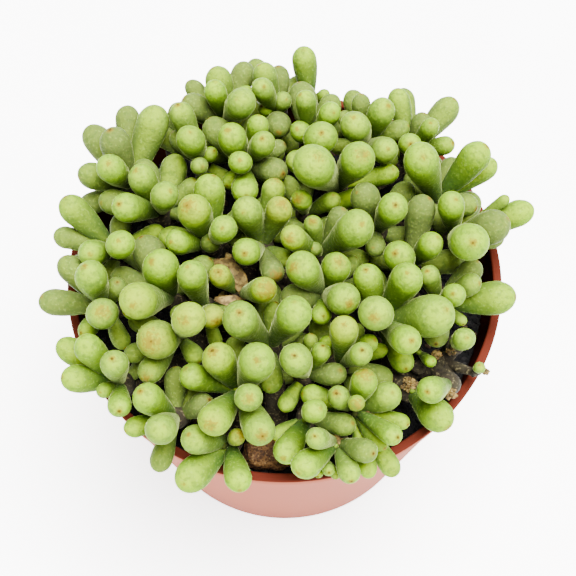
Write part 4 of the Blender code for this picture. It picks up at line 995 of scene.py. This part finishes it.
def leafLine(row, draw):
    name, thick, length = foliage.crown[row], foliage.thick[row], foliage.length[row]
    along = leafStations(leaf["rootSunk"] * coreRadius(name) / length, thick, length)
    here = slice(row, row + 1)
    points = centreLines(foliage.root[here], foliage.cap[here], foliage.thick[here],
                         foliage.sight[here], foliage.upturn[here], along)[0]
    aside = unit(np.cross(unit(points[-1] - points[-4]), draw.normal(size=3)))
    key = f"{name}{foliage.order[row]}"
    least, more = marks["blotch"]
    rusty = rust.get(key, draw.uniform(0, marks["rust"]))
    layer = foliage.layer[row]
    # Low and half-covered leaves are dulled as painted shade
    coveredShade = marks["lowShade"] if layer < 0 else marks["edgeShade"] * (layer == 0)
    return dict(
        points=points, width=radiusAt(along, thick, length), along=along, leafSeed=draw.uniform(),
        blotch=thick * (least + more * rusty),
        glow=glow.get(key, draw.uniform(0, marks["glow"]) * (layer >= 0)),
        dullAndShade=1.0 if key in dullAndShade else draw.uniform(0, marks["dullAndShade"]) + coveredShade, woody=0.0,
        dotPlace=points[-1] + aside * thick * draw.uniform(0, marks["dotOffAxis"]),
        dotSize=draw.uniform(*marks["dotSize"]) if draw.uniform() < marks["dotShare"] else marks["noDot"])


def stemTip(name, draw):
    # The stem tip under a crown's leaves, and the young leaf on top of it
    crown, axis = roots[name], axes[name]
    radius, drop, form = coreRadius(name), stemDrop(name), leafLook["tip"]
    along = np.linspace(0, 1, form["rings"])
    points = crown + axis * ((leaf["gap"] - drop) * (1 - along) + radius * along)[:, None]
    past = np.clip(along - form["roundFrom"], 0, 1) / (1 - form["roundFrom"])
    width = radius * np.sqrt(np.clip(1 - past**2, 0, 1))
    width = width * (form["foot"] + (1 - form["foot"]) * np.clip(along / form["footLength"], 0, 1))
    plain = dict(leafSeed=draw.uniform(), blotch=form["blotch"], glow=0.0, dotSize=marks["noDot"],
                 dotPlace=crown)
    tip = [dict(plain, points=points, width=width, along=along * form["along"], dullAndShade=0.0, woody=1.0)]
    if name in tiny + withered:
        return tip
    aside = unit(np.cross(axis, form["sideways"]))
    turn, lean = draw.uniform(0, form["youngTurn"]), math.radians(draw.uniform(*form["youngLean"]))
    sideways = aside * math.cos(turn) + np.cross(axis, aside) * math.sin(turn)
    way = axis * math.cos(lean) + sideways * math.sin(lean)
    length, thick = draw.uniform(*form["youngLength"]), draw.uniform(*form["youngThick"])
    along = leafStations(0.0, thick, length)
    points = crown + axis * radius * form["youngRoot"] + way * (along * length)[:, None]
    return tip + [dict(plain, points=points, width=radiusAt(along, thick, length), along=along,
                       dullAndShade=form["youngDull"], woody=draw.uniform(0, form["youngWoody"]))]


def lowLeaves(draw):
    # Smaller leaves low on the stem tips, wherever there is room between the others
    centres, radii = foliage.spheres()
    centres = np.concatenate([centres.reshape(-1, 3), foliage.things])
    radii = np.concatenate([radii.ravel(), foliage.thingRadii])
    found = {name: [] for name in crowns}
    form = leafLook["low"]
    outer = stations > form["free"]
    for name in crowns:
        if name in tiny + withered + form["bare"] or len(crowns[name][3]) < hidden["leastSeen"]:
            continue
        crown, axis = roots[name], axes[name]
        for _ in range(form["tries"]):
            if len(found[name]) == form["most"]:
                break
            root = crown - axis * draw.uniform(0.0, form["below"])
            way = wayAt(draw.uniform(0, 2 * math.pi), math.radians(draw.uniform(*form["lift"])))
            thick = draw.uniform(*form["thick"])
            cap = root + way * (usualLength(thick) * draw.uniform(*form["shorter"]) - endLength(thick))
            line = (root[None], cap[None], np.array([thick]), way[None], np.zeros(1))
            length = norm(cap - root) + endLength(thick)
            mine = centreLines(*line, stations)[0]
            size = radiusAt(stations, thick, length)
            apart = norm(mine[outer][:, None] - centres[None], axis=2)
            clear = (apart - size[outer][:, None] - radii[None]).min() > -form["room"]
            onRim = np.hypot(mine[:, 0], mine[:, 1]) + size > pot["rimRadius"] - form["fromRim"]
            onRim &= mine[:, 2] < pot["height"] + form["overRim"]
            tooLow = mine[:, 2] - size < soil["top"] + form["overSoil"]
            if not clear or onRim.any() or tooLow.any():
                continue
            centres, radii = np.concatenate([centres, mine]), np.concatenate([radii, size])
            along = leafStations(form["start"], thick, length)
            points = centreLines(*line, along)[0]
            # The low leaves' dulling is painted shade
            found[name].append(dict(
                points=points, width=radiusAt(along, thick, length), along=along,
                dullAndShade=draw.uniform(*form["dullAndShade"]), leafSeed=draw.uniform(), blotch=marks["blotch"][0] * thick,
                glow=0.0, woody=0.0, dotPlace=points[-1], dotSize=draw.uniform(*marks["dotSize"])))
    print("low leaves:", sum(len(lines) for lines in found.values()))
    return found


def buildLeaves(bark):
    fresh = dict(leafLook["form"], **{"Material": leafSkin(), "Stem material": bark})
    fresh["Light"] = tuple(unit(np.array(fresh["Light"])))
    dry = dict(fresh, **leafLook["dried"], Material=plainSkin("Papery dried leaf", driedLook))
    tree, given = newTree("Round leaves", fresh)
    number, along, woody = (addNode(tree, "GeometryNodeInputNamedAttribute", {"Name": name}, data_type="FLOAT")
                            for name in ("leafSeed", "along", "woody"))
    seed = addNode(tree, "ShaderNodeMath", {0: number, 1: leafLook["seedStep"]}, operation="MULTIPLY")
    body = addNode(tree, "ShaderNodeMapRange", {
        0: along, 1: leafLook["wobbleFrom"], 2: leafLook["wobbleTo"]})
    skin = pushed(tree, tubes(tree, given), given, "Wobble", seed, body)
    skin = pushed(tree, skin, given, "Fine wobble", seed)
    # How much each place faces the lamp, for the painted light and painted shade in its colour
    facing = addNode(tree, "ShaderNodeVectorMath", output="Value", operation="DOT_PRODUCT",
                     inputs={0: addNode(tree, "GeometryNodeInputNormal"), 1: given["Light"]})
    skin = addNode(tree, "GeometryNodeStoreNamedAttribute", data_type="FLOAT",
                   inputs={0: skin, "Name": "paintedLightFacing", "Value": facing})
    stems = addNode(tree, "FunctionNodeCompare", {0: woody, 1: leafLook["stemFrom"]},
                    operation="GREATER_THAN")
    endTree(tree, skin, given, stems)
    low = lowLeaves(np.random.default_rng(marks["seed"]))
    count = 0
    for limb, (_, _, group) in limbs.items():
        for order, name in enumerate(group, 1):
            draw = np.random.default_rng([marks["seed"], ord(name)])
            rows = np.nonzero(foliage.crown == name)[0]
            isDry = name in withered
            lines = stemTip(name, draw) + [leafLine(row, draw) for row in rows] + low[name]
            if isDry:
                lines[-1]["width"] = lines[-1]["width"] * marks["driedWiden"]
            node = f"{'witheredLeaf' if isDry else 'leaves'}_{limb}_{order}"
            obj = linesMesh(node + "_skin", lines)
            grow(obj, tree, dry if isDry else fresh)
            count += place(obj, "driedLeaf" if isDry else "leaf", node)
    print("leaves:", count, "triangles")


# Bark of an old succulent stem: dry and matt, grey-brown, with pale scars and dark creases
barkLook = {
    "form": {
        "Sides": 14, "Flatness": 1.0, "Lump": 0.8, "Lump size": 3.0, "Crease": 0.15, "Crease size": 0.8,
        "Density": 0.12, "Seed": 5, "Smallest": 0.18, "Largest": 0.45,
        "Least shape": (0.75, 0.6, 0.42), "Most shape": (1.25, 1.0, 0.6)},
    "surface": {"Roughness": 0.85, "Specular IOR Level": 0.2},
    "noise": {"broad": (2.4, 4.0), "fine": (0.8, 4.0)},
    "base": "#262213",
    "coats": {
        "brown": ("broad", 0.4, 0.62, 1.0, "#1d170b"), "pale": ("fine", 0.56, 0.68, 0.8, "#595136"),
        "crack": ("fine", 0.42, 0.32, 0.8, "#0f0b06")},
    "relief": 0.35,
    # The caudex: heights over the soil, and how much wider it is there than its hole in the
    # soil. Then the limbs' points and the rings that old leaves left on them.
    "heights": (0, 4, 8, 11.0, 11.6), "wider": (-1, 0, 0.8, -1.2, -5.0, -9.3), "points": 26,
    "step": 0.7, "leastPoints": 8, "ring": 0.1, "ringTurn": 0.55,
}

# A leaf that dried on the stem: papery and tan, brown in its folds
driedLook = {
    "surface": {
        "Roughness": 0.75, "Specular IOR Level": 0.2, "Subsurface Weight": 0.2,
        "Subsurface Radius": (1.0, 0.5, 0.25), "Subsurface Scale": 0.6 * mm},
    "noise": {"broad": (1.6, 4.0), "fine": (0.7, 4.0)},
    "base": "#4a3a1b",
    "coats": {
        "pale": ("broad", 0.4, 0.65, 1.0, "#7f6a36"), "fold": ("fine", 0.46, 0.34, 0.7, "#20160a")},
    "relief": 0.15,
}

# Clusters of dried leaf bases, stubs of cut stems and curled dry leaves, where they are seen:
# place on the plane of the pot's mouth, height and radius
remnants = {
    "clusters": [
        (18.6, -36.6, 84.5, 1.6), (11.3, -42.0, 82.5, 1.8), (28.4, -28.7, 81.5, 2.1),
        (35.2, -21.2, 84.0, 1.3), (38.9, -19.7, 84.5, 1.4), (46.4, -25.4, 84.5, 0.9),
        (37.9, -30.6, 83.5, 1.7)],
    "stubs": [
        [(-2.1, -38.9, 69.0, 2.8), (-2.4, -33.0, 77.0, 2.6), (-2.6, -27.9, 84.0, 2.3)],
        [(22.5, -26.5, 74.0, 2.4), (25.4, -28.0, 79.0, 2.3), (28.4, -28.7, 81.0, 1.9)],
        [(31.2, -24.0, 73.0, 2.0), (30.9, -24.2, 80.0, 1.7), (30.9, -24.2, 80.3, 1.2)]],
    "curls": [
        [(-19.5, 2.4, 90.0, 0.5), (-16.9, 3.2, 93.0, 1.6), (-13.8, 2.0, 94.0, 2.1),
         (-11.4, -1.2, 93.0, 2.0), (-10.2, -4.6, 90.0, 1.2), (-10.2, -7.0, 88.0, 0.5)],
        [(-17.0, -6.5, 90.5, 0.4), (-15.0, -6.8, 91.0, 1.3), (-12.0, -7.0, 90.5, 1.4),
         (-10.0, -7.6, 88.0, 0.5)]],
    "scales": 30, "scaleWide": 0.5, "scalePoints": 6, "upwards": 0.6, "reach": (0.9, 1.1),
    "spread": (0.7, 1.3), "narrowing": 0.9, "points": 24, "rounds": 3, "seed": 9,
    "scaleForm": {
        "Sides": 8, "Flatness": 0.7, "Lump": 0.5, "Lump size": 0.8, "Crease size": 0.4, "Density": 0.0,
        "Smallest": 0.1, "Largest": 0.2},
    "stubForm": {"Sides": 20, "Flatness": 0.95, "Lump": 1.0, "Lump size": 1.8},
    "curlForm": {"Sides": 20, "Flatness": 0.22, "Lump": 1.3, "Lump size": 2.5},
}


def smoothLine(rows):
    # A round-ended line through seen places
    path = np.array([(*seenAt(x, y, height), radius) for x, y, height, radius in rows])
    along = np.linspace(0, len(path) - 1, remnants["points"])
    path = np.stack([np.interp(along, range(len(path)), column) for column in path.T], axis=1)
    for _ in range(remnants["rounds"]):
        path[1:-1] = (path[:-2] + path[1:-1] * 2 + path[2:]) / 4
    return dict(points=path[:, :3], width=path[:, 3])


def buildBark():
    woody = plainSkin("Warty succulent bark", barkLook)
    values = dict(barkLook["form"], Material=woody)
    tree, given = newTree("Bark", values)
    skin = pushed(tree, tubes(tree, given), given, "Lump", 0.0)
    skin = pushed(tree, skin, given, "Crease", 3.0)
    endTree(tree, scattered(tree, skin, given), given)
    heights = soil["top"] + np.array([-soil["caudexDepth"], *barkLook["heights"]])
    radii = soil["caudexRadius"] + np.array(barkLook["wider"])
    corners = np.arange(len(radii))
    along = np.linspace(0, corners[-1], barkLook["points"])
    z = np.interp(along, corners, heights)
    lines = [dict(points=np.stack([z * 0, z * 0, z], axis=1), width=np.interp(along, corners, radii))]
    for name, bend, startRadius, endRadius, _ in curves:
        count = max(barkLook["leastPoints"], int(norm(bend[3] - bend[0]) / barkLook["step"]))
        along = np.linspace(0, 1, count)
        rings = 1 + barkLook["ring"] * np.abs(np.sin(along * count * barkLook["ringTurn"] + ord(name[0])))
        width = (startRadius + (endRadius - startRadius) * along) * rings
        lines.append(dict(points=bent(bend, along), width=width))
    obj = linesMesh("bark_skin", lines)
    grow(obj, tree, values)
    print("bark:", place(obj, "bark", "bark"), "triangles")
    buildRemnants(tree, values)
    return woody


def buildRemnants(tree, values):
    draw = np.random.default_rng(remnants["seed"])
    along = np.linspace(0, 1, remnants["scalePoints"])
    scales = []
    for x, y, height, radius in remnants["clusters"]:
        for _ in range(int(remnants["scales"] * radius)):
            way = unit(draw.normal(size=3) + np.array([0, 0, remnants["upwards"]]))
            reach = radius * draw.uniform(*remnants["reach"])
            width = remnants["scaleWide"] * draw.uniform(*remnants["spread"])
            points = seenAt(x, y, height) + way * reach * along[:, None]
            scales.append(dict(points=points, width=width * np.sqrt(1 - remnants["narrowing"] * along**2)))
    dried = dict(values, **remnants["scaleForm"])
    dried["Material"] = plainSkin("Papery dried leaf", driedLook)
    stub = dict(dried, **remnants["stubForm"])
    stub["Material"] = values["Material"]
    curl = dict(dried, **remnants["curlForm"])
    for name, slot, lines, form in (
            ("driedBases", "driedLeaf", scales, dried),
            ("stubs", "bark", map(smoothLine, remnants["stubs"]), stub),
            ("curledLeaves", "driedLeaf", map(smoothLine, remnants["curls"]), curl)):
        piece = linesMesh(name, lines)
        grow(piece, tree, form)
        print(name + ":", place(piece, slot), "triangles")


# Studio: white paper, lit through from below so that it stays white around the pot, a white
# sky, one large soft lamp and the camera
studio = {
    "floorSize": 16.0, "sky": 1.9, "lampAt": (0.35, 0.05, 2.15), "lampSize": 1.6, "lampPower": 330.0,
    "surface": {
        "Roughness": 0.9, "Specular IOR Level": 0.1, "Emission Color": (1, 1, 1, 1), "Emission Strength": 3.0},
    "noise": {"fine": (40, 2.0)},
    "base": "#ffffff",
    "coats": {"fibres": ("fine", 0.3, 0.7, 1.0, "#fbfbfa")},
    "relief": 0.02,
}


def addLooker(name, data, location, target):
    obj = newObject(name, data)
    obj.location = location
    obj.rotation_euler = (Vector(target) - Vector(location)).to_track_quat("-Z", "Y").to_euler()
    return obj


def buildStudio():
    bm = bmesh.new()
    bmesh.ops.create_grid(bm, x_segments=4, y_segments=4, size=studio["floorSize"] / 2 / mm)
    meshFrom("floor", bm, plainSkin("White studio paper", studio))
    scene.world = bpy.data.worlds.new("Studio")
    scene.world.use_nodes = True
    sky = scene.world.node_tree.nodes["Background"]
    sky.inputs["Color"].default_value = (1, 1, 1, 1)
    sky.inputs["Strength"].default_value = studio["sky"]
    lamp = bpy.data.lights.new("softBox", "AREA")
    lamp.shape, lamp.size, lamp.energy = "DISK", studio["lampSize"], studio["lampPower"]
    addLooker("softBox", lamp, studio["lampAt"], (0, 0, 0))
    camera = bpy.data.cameras.new("camera")
    camera.sensor_width, camera.lens = view["sensor"], view["lens"]
    scene.camera = addLooker("camera", camera, Vector(view["eye"]) * mm, Vector(view["target"]) * mm)


buildPot()
buildSoil()
buildPebble()
buildLeaves(buildBark())
buildStudio()
